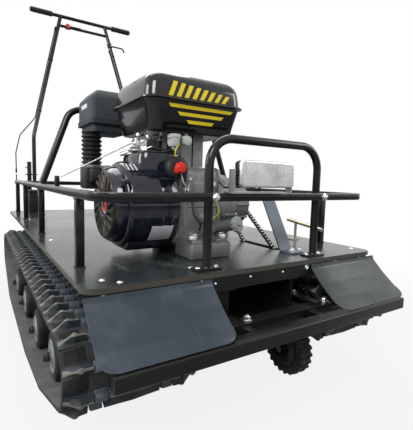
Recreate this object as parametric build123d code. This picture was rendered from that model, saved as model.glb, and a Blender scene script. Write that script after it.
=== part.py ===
from build123d import *
from math import atan2, cos, degrees, hypot, pi, radians, sin
import os

# Tracked snow tug, in millimetres. +Z is up, the front faces -Y, the driver's left is +X.
# The ground is at z = 0 and the machine is centred on x = 0 and y = 0.

# Clearances shared by all pieces
seat_gap = 0.3
overrun = 2.0

# Sides of the round bars, wheels and tubes, which are many-sided bars with few faces
bar_sides = 12
wheel_sides = 20
tube_sides = 12
corner_steps = 3
facet_angle = 20.0

# Deck
deck_width = 920.0
deck_length = 1750.0
deck_top = 400.0
deck_thickness = 12.0
deck_corner_radius = 34.0
deck_slot_width = 36.0
deck_slot_margin = 12.0
deck_slot_corner_share = 0.45
deck_front = -deck_length / 2
deck_rear = deck_length / 2
deck_side = deck_width / 2
deck_under = deck_top - deck_thickness

# Frame under the deck
beam_size = 40.0
beam_x = 110.0
beam_rear_gap = 60.0
flange_height = 34.0
flange_thickness = 6.0
cross_beam_shares = (-0.30, 0.0, 0.26, 0.42)
beam_bottom = deck_under - beam_size

# Keel plates that carry the axles
keel_thickness = 8.0
keel_front_reach = 34.0
keel_rear_reach = 46.0
keel_below_axle = 26.0

# Tracks
track_width = 300.0
track_outer_x = 504.0
track_inner_x = track_outer_x - track_width
belt_thickness = 8.0
lug_height = 22.0
lug_count = 60
lug_foot = 24.0
lug_tip = 9.0
lug_edge_gap = 6.0
lug_end_slope = 26.0
ground_roller_z = lug_height + 73.0

# Road rollers: y from the deck's front edge and height of each axle
roller_radius = 73.0
roller_1_y = deck_front + 304.0
roller_2_y = deck_front + 617.0
roller_3_y = deck_front + 932.0
roller_4_y = deck_front + 1255.0
roller_1_z = 138.0
drive_drum_y = deck_front + 48.0
drive_drum_z = 227.0
rear_drum_y = deck_front + 1500.0
rear_drum_z = 212.0
rear_drum_radius = 85.0
# y and z of the axles of the four wheel sets
wheel_rows = (
    (roller_1_y, roller_1_z),
    (roller_2_y, ground_roller_z),
    (roller_3_y, ground_roller_z),
    (roller_4_y, ground_roller_z),
)
# y, z and radius of the circles that the outer face of the belt turns round
track_circles = (
    (drive_drum_y, drive_drum_z, roller_radius),
    (roller_1_y, roller_1_z, roller_radius),
    (roller_2_y, ground_roller_z, roller_radius),
    (roller_4_y, ground_roller_z, roller_radius),
    (rear_drum_y, rear_drum_z, rear_drum_radius),
)

# Wheels on through axles
wheel_width = 36.0
wheel_face_x = 469.0
wheel_dish_radius = 44.0
wheel_dish_depth = 7.0
inner_wheel_face_x = 282.0
wheel_axle_radius = 10.0
wheel_nut_radius = 13.0
wheel_nut_length = 22.0
drum_axle_radius = 15.0
drum_axle_end_x = 430.0
drum_width = 26.0
drum_x_shares = (0.24, 0.76)

# Guide wheel beside the left track
guide_wheel_x = 143.0
guide_wheel_y = deck_front + 47.0
guide_wheel_z = 130.0
guide_wheel_radius = 77.0
guide_wheel_width = 46.0
guide_tooth_depth = 5.0
guide_tooth_count = 18
# share of the pitch at which each corner of a tooth stands, and whether it is on the crest
guide_tooth_corners = ((0.0, 0), (0.2, 1), (0.5, 1), (0.7, 0))
hanger_width = 44.0

# Chain drive
chain_x = 184.0
chain_width = 12.0
chain_thickness = 12.0
sprocket_thickness = 7.0
driven_sprocket_radius = 58.0
output_sprocket_radius = 34.0
output_y = -480.0
output_z = 520.0
output_shaft_radius = 12.0
output_hub_radius = 28.0

# Front bumper, inner bar and plates
bumper_width = 880.0
bumper_depth = 36.0
bumper_height = 32.0
bumper_front_y = -1000.0
bumper_top = 282.0
inner_bar_x0 = -150.0
inner_bar_x1 = 196.0
inner_bar_depth = 36.0
inner_bar_height = 33.0
inner_bar_front_y = -935.0
inner_bar_top = 288.0
tension_strip_x = 150.0
tension_strip_width = 24.0
tension_strip_thickness = 5.0
tension_slot_width = 9.0
plate_width = 292.0
plate_thickness = 3.0
plate_corner = 34.0
plate_drop = deck_under - bumper_top
plate_reach = 118.0
# share of the reach forward and of the drop, from the deck's flange to the bumper
plate_line_shares = ((0.0, 0.06), (0.02, 0.16), (0.33, 0.5), (0.66, 0.8), (1.0, 1.0))

# Tow hitch
hitch_width = 60.0
hitch_reach = 60.0
hitch_thickness = 12.0
hitch_z = 336.0
hitch_hole_radius = 9.0
hitch_hole_margin = 22.0

# Railing
rail_size = 20.0
rail_top = 586.0
rail_x = 423.0
rail_front_y = -858.0
rail_rear_y = 836.0
rail_bend = 62.0
rear_bar_y = 560.0
post_1_y = deck_front + 184.0
post_2_y = deck_front + 771.0
post_3_y = deck_front + 1271.0
post_4_y = deck_front + 1657.0
post_rows = (post_1_y, post_2_y, post_3_y, post_4_y)

# Hoops
hoop_radius = 11.0
hoop_x0 = -158.0
hoop_x1 = 217.0
hoop_top = 717.0
hoop_bend = 66.0
hoop_foot_length = 74.0
hoop_foot_width = 34.0
hoop_foot_thickness = 5.0
rear_hoop_radius = 12.5
rear_hoop_top = 870.0
rear_hoop_half_top = 316.0
rear_hoop_bend = 62.0

# Headlamp
lamp_x = -38.0
lamp_width = 165.0
lamp_height = 63.0
lamp_depth = 40.0
lamp_corner = 9.0
lamp_back_bevel = 6.0
lamp_front_y = -915.0
lamp_z = 632.0
lens_thickness = 12.0
lamp_pin_radius = 4.0
lamp_pin_gap = 0.4
lamp_ear_gap = 6.0
lamp_ear_thickness = 4.0
lamp_ear_length = 20.0
lamp_bracket_thickness = 4.0

# Engine, measured from its crankshaft
shaft_y = -575.0
shaft_z = 540.0
engine_foot_height = 25.0
case_x0 = -155.0
case_x1 = -14.0
case_front = 95.0
case_rear = 80.0
case_top = 652.0
case_corner = 18.0
foot_front_reach = 76.0
foot_length = 92.0
foot_inset = 6.0
hood_x0 = -262.0
hood_x1 = -124.0
hood_front_reach = 96.0
hood_rear_reach = 70.0
hood_top = 690.0
hood_low = 600.0
hood_bevel = 22.0
housing_width = 145.0
housing_radius = 122.0
housing_base = 150.0
recoil_depth = 34.0
recoil_radius = 106.0
recoil_face_radius = 92.0
recoil_hub_radius = 27.0
recoil_hub_depth = 8.0
recoil_slot_count = 10
recoil_slot_width = 9.0
recoil_slot_length = 26.0
cylinder_lean = 25.0
cylinder_x = -84.0
cylinder_core = 96.0
cylinder_length = 128.0
fin_size = 138.0
fin_thickness = 4.0
fin_count = 7
head_length = 34.0
gear_case_radius = 94.0
gear_case_length = 72.0
gear_cover_radius = 78.0
gear_cover_length = 74.0
gear_boss_radius = 9.0
gear_boss_count = 6
tank_x = -98.0
tank_front_y = -686.0
tank_width = 302.0
tank_length = 282.0
tank_bottom = 742.0
tank_seam = 827.0
tank_top = 904.0
tank_corner = 34.0
tank_seam_width = 10.0
tank_seam_thickness = 5.0
tank_taper = 9.0
tank_dome = 16.0
tank_dome_inset = 34.0
tank_lower_taper = 18.0
cap_radius = 31.0
cap_height = 18.0
tank_leg_size = 34.0
tank_leg_inset = 58.0
filter_x0 = -300.0
filter_width = 150.0
filter_y0 = -330.0
filter_length = 190.0
filter_bottom = 768.0
filter_top = 910.0
filter_chamfer = 26.0
filter_corner = 18.0
filter_base_inset = 12.0
filter_base_height = 26.0
duct_x = -282.0
duct_y = -272.0
duct_width = 60.0
duct_ring = 5.0
duct_ring_count = 5
elbow_size = 68.0
elbow_bottom = 572.0
elbow_top = 650.0
elbow_bevel = 16.0
intake_x0 = -262.0
intake_y0 = -362.0
intake_y1 = -296.0
intake_bottom = 600.0
intake_top = 655.0
bowl_radius = 26.0
bowl_depth = 40.0
throttle_wire_radius = 2.0
throttle_clip_size = 14.0
throttle_clip_height = 30.0
throttle_clip_y = -421.0
throttle_plate_x = -246.0
throttle_plate_y = -595.0
throttle_plate_size = 16.0
throttle_plate_height = 36.0
throttle_wire_drop = 8.0
silencer_x = -90.0
silencer_gap = 8.0
silencer_width = 150.0
silencer_length = 110.0
silencer_height = 112.0
silencer_bottom = 706.0
silencer_corner = 24.0
pipe_radius = 15.0
stub_size = 30.0
stub_drop = 58.0
switch_box_width = 62.0
switch_box_depth = 30.0
switch_box_height = 52.0
switch_x = -166.0
switch_z = 646.0
knob_radius = 15.0
knob_length = 20.0

# Brace strip and side lever
brace_x = 188.0
brace_width = 50.0
brace_thickness = 5.0
brace_foot = 48.0
brace_front_y = -806.0
brace_top_y = -662.0
brace_top_z = 562.0
lever_x = 392.0
lever_y = -600.0
lever_radius = 5.0
lever_height = 62.0
lever_handle_radius = 7.0
lever_handle_length = 165.0
lever_base = 46.0
lever_base_thickness = 4.0
lever_tilt = 7.0

# Rear box
rear_box_x = -325.0
rear_box_y = 786.0
rear_box_width = 84.0
rear_box_length = 50.0
rear_box_height = 130.0

# Handlebar
bar_radius = 11.0
bar_pivot_y = 845.0
bar_pivot_z = 622.0
bar_foot_x = 326.0
bar_bend_z = 850.0
bar_bend_radius = 150.0
bar_top_x = 140.0
bar_top_z = 1628.0
bar_end_x = 315.0
bar_stub = 15.0
cross_tube_drop = 62.0
cross_tube_radius = 9.0
grip_radius = 16.5
grip_length = 125.0
pivot_radius = 6.0
pivot_gap = 0.3
sleeve_gap = 6.0
sleeve_size = 22.0
sleeve_top = 695.0
sleeve_foot = 56.0
sleeve_foot_thickness = 5.0
brake_lever_length = 96.0
brake_lever_radius = 5.0
brake_lever_bend_share = 0.6
brake_lever_drop_share = 0.25
brake_clamp_radius = 16.0
brake_clamp_length = 24.0
clamp_gap = 0.8
cable_radius = 3.0
cable_bend = 40.0
cable_offset = 14.9
cable_top_share = 0.1
cable_leave_share = 0.86
cable_bow_z = 850.0
cable_bow_x = -398.0
cable_bow_y = 862.0
cable_drop_z = 745.0
cable_end_x = -423.0
brake_cable_x = 301.0
brake_cable_top_share = 0.2
brake_cable_leave_share = 0.97
brake_cable_low_z = 690.0
cable_guard = 4.0
bar_top_y = grip_radius * -1 - bumper_front_y


def box(x0, x1, y0, y1, z0, z1):
    middle = Pos((x0 + x1) / 2, (y0 + y1) / 2, (z0 + z1) / 2)
    return middle * Box(x1 - x0, y1 - y0, z1 - z0)


def bar_x(y, z, radius, x0, x1, sides=bar_sides):
    """A many-sided bar along x."""
    face = Plane(origin=(x0, y, z), x_dir=(0, 1, 0), z_dir=(1, 0, 0)) * RegularPolygon(radius, sides)
    return extrude(face, amount=x1 - x0)


def bar_y(x, z, radius, y0, y1, sides=bar_sides):
    """A many-sided bar along y."""
    face = Plane(origin=(x, y0, z), x_dir=(1, 0, 0), z_dir=(0, 1, 0)) * RegularPolygon(radius, sides)
    return extrude(face, amount=y1 - y0)


def pin_x(y, z, radius, x0, x1):
    """A truly round pin along x, for what turns on it."""
    return Pos((x0 + x1) / 2, y, z) * Rot(0, 90, 0) * Cylinder(radius, x1 - x0)


def bar_z(x, y, radius, z0, z1, sides=bar_sides):
    """A many-sided upright bar."""
    return extrude(Pos(x, y, z0) * RegularPolygon(radius, sides), amount=z1 - z0)


def side_prism(points, x0, x1):
    """Extrudes a closed outline of (y, z) points from x0 to x1."""
    area = sum(p[0] * q[1] - q[0] * p[1] for p, q in zip(points, points[1:] + points[:1]))
    ordered = points if area > 0 else points[::-1]
    face = make_face(Polyline(*[(0, y, z) for y, z in ordered], close=True))
    return Pos(x0, 0, 0) * extrude(face, amount=x1 - x0, dir=(1, 0, 0))


def strip_outline(points, thickness):
    """Closed outline of a bent sheet, thickened to the right of the line of points."""
    headings = [atan2(q[1] - p[1], q[0] - p[0]) for p, q in zip(points, points[1:])]
    back = []
    for index, (y, z) in enumerate(points):
        before = headings[max(index - 1, 0)]
        after = headings[min(index, len(headings) - 1)]
        middle = (before + after) / 2
        reach = thickness / cos((after - before) / 2)
        back.append((y + reach * sin(middle), z - reach * cos(middle)))
    return list(points) + back[::-1]


def facet_solid(rings):
    """A closed solid of flat faces through rings of corners that have the same number of corners."""
    faces = [Face(Wire.make_polygon(ring, close=True)) for ring in (rings[0], rings[-1])]
    for low, high in zip(rings, rings[1:]):
        for index in range(len(low)):
            corners = (low[index - 1], low[index], high[index], high[index - 1])
            faces.append(Face(Wire.make_polygon(corners, close=True)))
    return Solid(Shell(faces))


def round_tube(points, radius, bend, sides=tube_sides):
    """A many-sided bar along a path of points with bends of one radius."""
    path = FilletPolyline(*points, radius=bend)
    return sweep(Plane(origin=path @ 0, z_dir=path % 0) * RegularPolygon(radius, sides), path=path)


def rod(start, end, radius):
    """A straight many-sided rod between two points."""
    line = Vector(*end) - Vector(*start)
    face = Plane(origin=start, z_dir=line.normalized()) * RegularPolygon(radius, bar_sides // 2)
    return extrude(face, amount=line.length)


def square_tube(points, size, bend):
    """A square bar along a level path of points with bends of one radius."""
    path = FilletPolyline(*points, radius=bend)
    across = Vector(0, 0, 1).cross(path % 0)
    start = Plane(origin=path @ 0, x_dir=across, z_dir=path % 0)
    return sweep(start * Rectangle(size, size), path=path)


def mirrored(solids):
    return [mirror(solid, about=Plane.YZ) for solid in solids]


def joined(solids):
    result = solids[0]
    for solid in solids[1:]:
        result = result + solid
    return result


def save(name, solids):
    flat = []
    for item in solids:
        flat += item.solids()
    shape = flat[0] if len(flat) == 1 else Compound(children=flat)
    shape.label = name
    export_step(shape, f"parts/{name}.step")


# Loops round circles, for the tracks and the chain


def loop_pieces(circles):
    """Arcs and tangent lines of the loop round the circles."""
    count = len(circles)
    normals = []
    for index in range(count):
        y0, z0, r0 = circles[index]
        y1, z1, r1 = circles[(index + 1) % count]
        span = hypot(y1 - y0, z1 - z0)
        heading = atan2(z1 - z0, y1 - y0)
        normals.append(heading - pi / 2 + atan2(r0 - r1, span))
    pieces = []
    for index in range(count):
        y0, z0, r0 = circles[index]
        y1, z1, r1 = circles[(index + 1) % count]
        before = normals[index - 1]
        after = normals[index]
        turn = (after - before) % (2 * pi)
        pieces.append(("arc", (y0, z0, r0, before, turn)))
        start = (y0 + r0 * cos(after), z0 + r0 * sin(after))
        end = (y1 + r1 * cos(after), z1 + r1 * sin(after))
        pieces.append(("line", (start, end, after)))
    return pieces


def piece_length(piece):
    kind, data = piece
    if kind == "arc":
        return data[2] * data[4]
    return hypot(data[1][0] - data[0][0], data[1][1] - data[0][1])


def point_on_loop(pieces, distance):
    """The (y, z, outward angle) at a distance along the loop."""
    for piece in pieces:
        length = piece_length(piece)
        if distance > length:
            distance -= length
            continue
        kind, data = piece
        if kind == "arc":
            y, z, radius, before, turn = data
            angle = before + distance / radius
            return y + radius * cos(angle), z + radius * sin(angle), angle
        start, end, angle = data
        share = distance / length
        return start[0] + share * (end[0] - start[0]), start[1] + share * (end[1] - start[1]), angle
    return point_on_loop(pieces, 0)


def loop_prism(circles, x0, x1):
    """The solid inside the loop, whose arcs are runs of short facets that touch the circles."""
    points = []
    for kind, data in loop_pieces(circles):
        if kind == "line":
            continue
        y, z, radius, before, turn = data
        steps = max(1, round(degrees(turn) / facet_angle))
        half = turn / steps / 2
        reach = radius / cos(half)
        for step in range(steps):
            angle = before + (2 * step + 1) * half
            points.append((y + reach * cos(angle), z + reach * sin(angle)))
    return side_prism(points, x0, x1)


def resized(circles, growth):
    return tuple((y, z, radius + growth) for y, z, radius in circles)


def band(circles, thickness, x0, x1):
    return loop_prism(circles, x0, x1) - loop_prism(resized(circles, -thickness), x0, x1)


def lug():
    """One lug along x, rooted below z = 0 and tapered to its crest and its ends."""
    half_length = track_width / 2 - lug_edge_gap
    rings = []
    for z, half_x, half_y in (
        (-belt_thickness / 2, half_length, lug_foot / 2),
        (lug_height, half_length - lug_end_slope, lug_tip / 2),
    ):
        rings.append([(-half_x, -half_y, z), (half_x, -half_y, z), (half_x, half_y, z), (-half_x, half_y, z)])
    return facet_solid(rings)


def track():
    """The belt with a lug standing on it at every pitch."""
    belt = band(track_circles, belt_thickness, track_inner_x, track_outer_x)
    pieces = loop_pieces(track_circles)
    pitch = sum(piece_length(piece) for piece in pieces) / lug_count
    shape = lug()
    middle_x = (track_inner_x + track_outer_x) / 2
    lugs = []
    for index in range(lug_count):
        y, z, angle = point_on_loop(pieces, (index + 0.5) * pitch)
        lugs.append(Pos(middle_x, y, z) * Rot(degrees(angle) - 90, 0, 0) * shape)
    return belt.fuse(*lugs)


# Deck and frame


def strand_at_deck():
    """Where the two strands of the chain cross the deck, front and rear."""
    lower = (drive_drum_y, drive_drum_z, driven_sprocket_radius + chain_thickness)
    upper = (output_y, output_z, output_sprocket_radius + chain_thickness)
    crossings = []
    for kind, data in loop_pieces((lower, upper)):
        if kind == "line":
            (y0, z0), (y1, z1), angle = data
            crossings.append(y0 + (y1 - y0) * (deck_top - deck_thickness / 2 - z0) / (z1 - z0))
    return min(crossings), max(crossings)


def deck():
    plate = box(-deck_side, deck_side, deck_front, deck_rear, deck_under, deck_top)
    plate = fillet(plate.edges().filter_by(Axis.Z), deck_corner_radius)
    front, rear = strand_at_deck()
    half = deck_slot_width / 2
    slot = box(
        chain_x - half,
        chain_x + half,
        front - deck_slot_margin,
        rear + deck_slot_margin,
        deck_under - overrun,
        deck_top + overrun,
    )
    return plate - fillet(slot.edges().filter_by(Axis.Z), deck_slot_corner_share * deck_slot_width)


def frame():
    front = deck_front + flange_thickness
    rear = deck_rear - beam_rear_gap
    half = beam_size / 2
    beams = []
    for side in (-1, 1):
        x = side * beam_x
        beams.append(box(x - half, x + half, front, rear, beam_bottom, deck_under))
    inner = beam_x - half - seat_gap
    for share in cross_beam_shares:
        y = share * deck_length
        beams.append(box(-inner, inner, y - half, y + half, beam_bottom, deck_under))
    save("deck_frame", beams)
    side = deck_side - deck_corner_radius
    flange_back = front - seat_gap
    flange = box(-side, side, deck_front, flange_back, deck_under - flange_height, deck_under)
    save("front_flange", [flange])


def keel():
    """A long plate on edge under a beam, with holes for the axles."""
    x0 = beam_x - keel_thickness / 2
    x1 = beam_x + keel_thickness / 2
    front = drive_drum_y - keel_front_reach
    rear = rear_drum_y + keel_rear_reach
    low = [(y, z - keel_below_axle) for y, z, radius in track_circles]
    low[0] = (front, drive_drum_z - keel_below_axle)
    low[-1] = (rear, rear_drum_z - keel_below_axle)
    plate = side_prism([(rear, beam_bottom), (front, beam_bottom)] + low, x0, x1)
    for y, z in wheel_rows:
        plate = plate - bar_x(y, z, wheel_axle_radius, x0, x1)
    for y, z in ((drive_drum_y, drive_drum_z), (rear_drum_y, rear_drum_z)):
        plate = plate - bar_x(y, z, drum_axle_radius, x0, x1)
    y0 = guide_wheel_y - hanger_width / 2
    hanger = box(x0, x1, y0, y0 + hanger_width, guide_wheel_z - hanger_width / 2, drive_drum_z - keel_below_axle)
    stub_hole = bar_x(guide_wheel_y, guide_wheel_z, wheel_axle_radius, x0, x1)
    return plate, plate + hanger - stub_hole


# Wheels, axles and chain


def wheel_set(y, z):
    """A through axle with an outer and an inner wheel on each side, turned as one piece."""
    tread = roller_radius - belt_thickness - seat_gap
    end = wheel_face_x + wheel_nut_length
    solids = [bar_x(y, z, wheel_axle_radius, -end, end)]
    for side in (-1, 1):
        for face in (wheel_face_x, inner_wheel_face_x):
            x0, x1 = sorted((side * face, side * (face - wheel_width)))
            solids.append(bar_x(y, z, tread, x0, x1, wheel_sides))
    result = joined(solids)
    for side in (-1, 1):
        x0, x1 = sorted((side * wheel_face_x, side * (wheel_face_x - wheel_dish_depth)))
        dish = bar_x(y, z, wheel_dish_radius, x0, x1, wheel_sides) - bar_x(y, z, wheel_nut_radius, x0, x1)
        result = result - dish
    return result


def drum_set(y, z, radius):
    """An axle with a drum near each edge of both tracks."""
    solids = [bar_x(y, z, drum_axle_radius, -drum_axle_end_x, drum_axle_end_x)]
    for side in (-1, 1):
        for share in drum_x_shares:
            x = side * (track_inner_x + share * track_width)
            solids.append(bar_x(y, z, radius, x - drum_width / 2, x + drum_width / 2, wheel_sides))
    return joined(solids)


def guide_wheel():
    """A small toothed wheel on a stub beside the left track."""
    x0 = guide_wheel_x - guide_wheel_width / 2
    x1 = guide_wheel_x + guide_wheel_width / 2
    root = guide_wheel_radius - guide_tooth_depth
    pitch = 2 * pi / guide_tooth_count
    points = []
    for index in range(guide_tooth_count):
        for share, crest in guide_tooth_corners:
            radius = root + crest * guide_tooth_depth
            angle = (index + share) * pitch
            points.append((guide_wheel_y + radius * cos(angle), guide_wheel_z + radius * sin(angle)))
    disc = side_prism(points, x0, x1)
    stub = bar_x(guide_wheel_y, guide_wheel_z, wheel_axle_radius, beam_x - keel_thickness / 2, x1 + keel_thickness)
    return disc + stub


def chain_drive():
    x0 = chain_x - chain_width / 2
    x1 = chain_x + chain_width / 2
    lower = (drive_drum_y, drive_drum_z, driven_sprocket_radius + chain_thickness)
    upper = (output_y, output_z, output_sprocket_radius + chain_thickness)
    save("drive_chain", [band((lower, upper), chain_thickness - seat_gap, x0, x1)])
    s0 = chain_x - sprocket_thickness / 2
    s1 = chain_x + sprocket_thickness / 2
    shaft = bar_x(output_y, output_z, output_shaft_radius, case_x1 + gear_case_length + gear_cover_length, s1)
    sprocket = bar_x(output_y, output_z, output_sprocket_radius, s0, s1, wheel_sides)
    save("output_sprocket", [shaft + sprocket])


def running_gear():
    left = track()
    save("track_left", [left])
    save("track_right", mirrored([left]))
    save("wheel_sets", [wheel_set(y, z) for y, z in wheel_rows])
    drive_radius = roller_radius - belt_thickness - seat_gap
    half = sprocket_thickness / 2
    x0 = chain_x - half
    x1 = chain_x + half
    sprocket = bar_x(drive_drum_y, drive_drum_z, driven_sprocket_radius, x0, x1, wheel_sides)
    save("drive_axle", [drum_set(drive_drum_y, drive_drum_z, drive_radius) + sprocket])
    rear_radius = rear_drum_radius - belt_thickness - seat_gap
    save("rear_axle", [drum_set(rear_drum_y, rear_drum_z, rear_radius)])
    save("guide_wheel", [guide_wheel()])
    plain, holed = keel()
    save("keel_left", [holed])
    save("keel_right", mirrored([plain]))
    chain_drive()


# Front bumper, plates and hitch


def bumper():
    low = bumper_top - bumper_height
    back = bumper_front_y + bumper_depth
    save("front_bumper", [box(-bumper_width / 2, bumper_width / 2, bumper_front_y, back, low, bumper_top)])
    inner_back = inner_bar_front_y + inner_bar_depth
    inner_low = inner_bar_top - inner_bar_height
    solids = [box(inner_bar_x0, inner_bar_x1, inner_bar_front_y, inner_back, inner_low, inner_bar_top)]
    keel_front = drive_drum_y - keel_front_reach
    half = beam_size / 4
    for side in (-1, 1):
        x = side * beam_x
        solids.append(box(x - half, x + half, back, inner_bar_front_y - seat_gap, inner_low, bumper_top))
        solids.append(box(x - half, x + half, inner_back + seat_gap, keel_front, inner_low, bumper_top))
    for side in (-1, 1):
        x0 = side * tension_strip_x - tension_strip_width / 2
        x1 = x0 + tension_strip_width
        x0, x1 = (x0, x1) if side > 0 else (inner_bar_x0, inner_bar_x0 + tension_strip_width)
        low_face = inner_bar_top + seat_gap
        top = low_face + tension_strip_thickness
        strip = box(x0, x1, inner_bar_front_y + inner_bar_depth / 4, drive_drum_y, low_face, top)
        middle = (x0 + x1) / 2
        half_slot = tension_slot_width / 2
        slot = box(
            middle - half_slot,
            middle + half_slot,
            inner_back,
            drive_drum_y - inner_bar_depth / 2,
            inner_bar_top - overrun,
            top + overrun,
        )
        solids.append(strip - slot)
    save("bumper_frame", solids)


def front_plate(x0):
    """A bent sheet from the deck's flange to the top of the bumper, with rounded lower corners."""
    line = []
    for reach_share, drop_share in plate_line_shares:
        y = deck_front - plate_thickness - reach_share * plate_reach
        line.append((y, deck_under - drop_share * plate_drop + plate_thickness))
    sheet = side_prism(strip_outline(line[::-1], plate_thickness), x0, x0 + plate_width)
    reach = plate_reach + plate_corner
    mask = box(x0, x0 + plate_width, line[-1][0], deck_front + reach, bumper_top - reach, deck_top + reach)
    low_edges = mask.edges().filter_by(Axis.Z).group_by(Axis.Y)[0]
    return sheet & fillet(low_edges, plate_corner)


def plates():
    save("front_plate_right", [front_plate(-deck_side)])
    save("front_plate_left", [front_plate(deck_side - plate_width)])


def hitch():
    rear = deck_rear + hitch_reach
    half = hitch_width / 2
    front = deck_rear - beam_rear_gap - beam_size
    plate = box(-half, half, front, rear, hitch_z, hitch_z + hitch_thickness)
    post = box(-half, half, front, front + beam_size, hitch_z, deck_under)
    hole_middle = Pos(0, rear - hitch_hole_margin, hitch_z + hitch_thickness / 2)
    hole = hole_middle * Cylinder(hitch_hole_radius, hitch_thickness)
    save("tow_hitch", [plate + post - hole])


# Railing and hoops


def railing():
    z = rail_top - rail_size / 2
    half = rail_size / 2
    points = [
        (-rail_x, rail_rear_y, z),
        (-rail_x, rail_front_y, z),
        (rail_x, rail_front_y, z),
        (rail_x, rail_rear_y, z),
    ]
    save("top_rail", [square_tube(points, rail_size, rail_bend)])
    inner = rail_x - half
    posts = [box(-inner, inner, rear_bar_y - half, rear_bar_y + half, z - half, z + half)]
    for side in (-1, 1):
        x = side * rail_x
        for y in post_rows:
            posts.append(box(x - half, x + half, y - half, y + half, deck_top, rail_top - rail_size))
    save("rail_posts", posts)


def hoops():
    y = rail_front_y + rail_size / 2 + hoop_radius
    foot_top = deck_top + hoop_foot_thickness
    points = [(hoop_x0, y, foot_top), (hoop_x0, y, hoop_top), (hoop_x1, y, hoop_top), (hoop_x1, y, foot_top)]
    solids = [round_tube(points, hoop_radius, hoop_bend)]
    for x in (hoop_x0, hoop_x1):
        x0 = x - hoop_foot_length / 2
        y0 = y - hoop_foot_width / 2
        solids.append(box(x0, x0 + hoop_foot_length, y0, y0 + hoop_foot_width, deck_top, foot_top))
    save("front_hoop", [joined(solids)])
    x = rail_x - rail_size / 2 + rear_hoop_radius / 2
    y = post_2_y
    knee = rail_top + rear_hoop_radius
    points = [
        (-x, y, rail_top),
        (-rear_hoop_half_top, y, rear_hoop_top),
        (rear_hoop_half_top, y, rear_hoop_top),
        (x, y, rail_top),
    ]
    tube = round_tube(points, rear_hoop_radius, rear_hoop_bend)
    below = box(-deck_side, deck_side, y - knee, y + knee, deck_top, rail_top)
    save("rear_hoop", [tube - below])


# Headlamp


def lamp():
    x0 = lamp_x - lamp_width / 2
    x1 = lamp_x + lamp_width / 2
    back = lamp_front_y + lamp_depth
    lens_back = lamp_front_y + lens_thickness
    low = lamp_z - lamp_height / 2
    high = lamp_z + lamp_height / 2
    body = box(x0, x1, lens_back, back, low, high)
    body = chamfer(body.edges().filter_by(Axis.Y), lamp_corner)
    body = chamfer(body.faces().sort_by(Axis.Y)[-1].edges(), lamp_back_bevel)
    pivot_y = (lens_back + back) / 2
    hole = lamp_pin_radius + lamp_pin_gap
    for x in (x0, x1 - lamp_ear_length):
        body = body - bar_x(pivot_y, lamp_z, hole, x - overrun, x + lamp_ear_length + overrun)
    save("lamp_body", [body])
    lens = box(x0, x1, lamp_front_y, lens_back, low, high)
    save("lamp_lens", [chamfer(lens.edges().filter_by(Axis.Y), lamp_corner)])
    half = lamp_ear_length / 2
    base_top = rail_top + lamp_bracket_thickness
    outer0 = x0 - lamp_ear_gap - lamp_ear_thickness
    outer1 = x1 + lamp_ear_gap + lamp_ear_thickness
    parts = [box(outer0, outer1, pivot_y - half, rail_front_y, rail_top, base_top)]
    for ear0, ear1, pin0, pin1 in (
        (outer0, outer0 + lamp_ear_thickness, outer0, x0 + half),
        (outer1 - lamp_ear_thickness, outer1, x1 - half, outer1),
    ):
        parts.append(box(ear0, ear1, pivot_y - half, pivot_y + half, rail_top, lamp_z + half))
        parts.append(pin_x(pivot_y, lamp_z, lamp_pin_radius, pin0, pin1))
    save("lamp_bracket", [joined(parts)])


# Engine


def crankcase():
    front = shaft_y - case_front
    rear = shaft_y + case_rear
    bottom = deck_top + engine_foot_height
    case = box(case_x0, case_x1, front, rear, bottom, case_top)
    case = fillet(case.edges().filter_by(Axis.X), case_corner)
    x0 = case_x0 + foot_inset
    x1 = case_x1 - foot_inset / 2
    y0 = front - foot_front_reach
    front_foot = box(x0, x1, y0, y0 + foot_length, deck_top, bottom + case_corner)
    rear_foot = box(x0, x1, rear - foot_length / 2, rear + foot_inset, deck_top, bottom + case_corner)
    save("crankcase", [case + front_foot + rear_foot])


def fan_housing():
    x0 = case_x0 - housing_width
    round_part = bar_x(shaft_y, shaft_z, housing_radius, x0, case_x0, 2 * wheel_sides)
    half = housing_base / 2
    base = box(x0, case_x0, shaft_y - half, shaft_y + half, shaft_z - housing_radius, shaft_z)
    front = shaft_y - hood_front_reach
    rear = shaft_y + hood_rear_reach
    profile = [
        (front, hood_low),
        (front, hood_top - hood_bevel),
        (front + hood_bevel, hood_top),
        (rear - hood_bevel, hood_top),
        (rear, hood_top - hood_bevel),
        (rear, hood_low),
    ]
    hood = side_prism(profile, hood_x0, hood_x1)
    hood = hood - box(case_x0, hood_x1, front, rear, hood_low, case_top)
    save("fan_housing", [round_part + base + hood])


def recoil_cover():
    """A turned cover: rim, sloping wall with slots, flat face and a sunk hub."""
    back = case_x0 - housing_width
    face = back - recoil_depth
    wall = (recoil_radius - recoil_face_radius) / 2
    profile = [
        (recoil_radius, back),
        (recoil_radius, back - recoil_depth / 3),
        (recoil_face_radius, face),
        (recoil_hub_radius + wall, face),
        (recoil_hub_radius, face + recoil_hub_depth),
    ]
    sides = 2 * wheel_sides
    rings = []
    for radius, x in profile:
        turns = [2 * pi * index / sides for index in range(sides)]
        rings.append([(x, shaft_y + radius * cos(turn), shaft_z + radius * sin(turn)) for turn in turns])
    cover = facet_solid(rings)
    middle = (recoil_radius + recoil_hub_radius) / 2 + wall
    cuts = []
    for index in range(recoil_slot_count):
        slot = Pos(0, 0, middle) * Box(2 * recoil_hub_depth, recoil_slot_width, 2 * recoil_slot_length)
        turned = Rot(360 * index / recoil_slot_count, 0, 0) * slot
        cuts.append(Pos(face, shaft_y, shaft_z) * turned)
    return cover.cut(*cuts)


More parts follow.
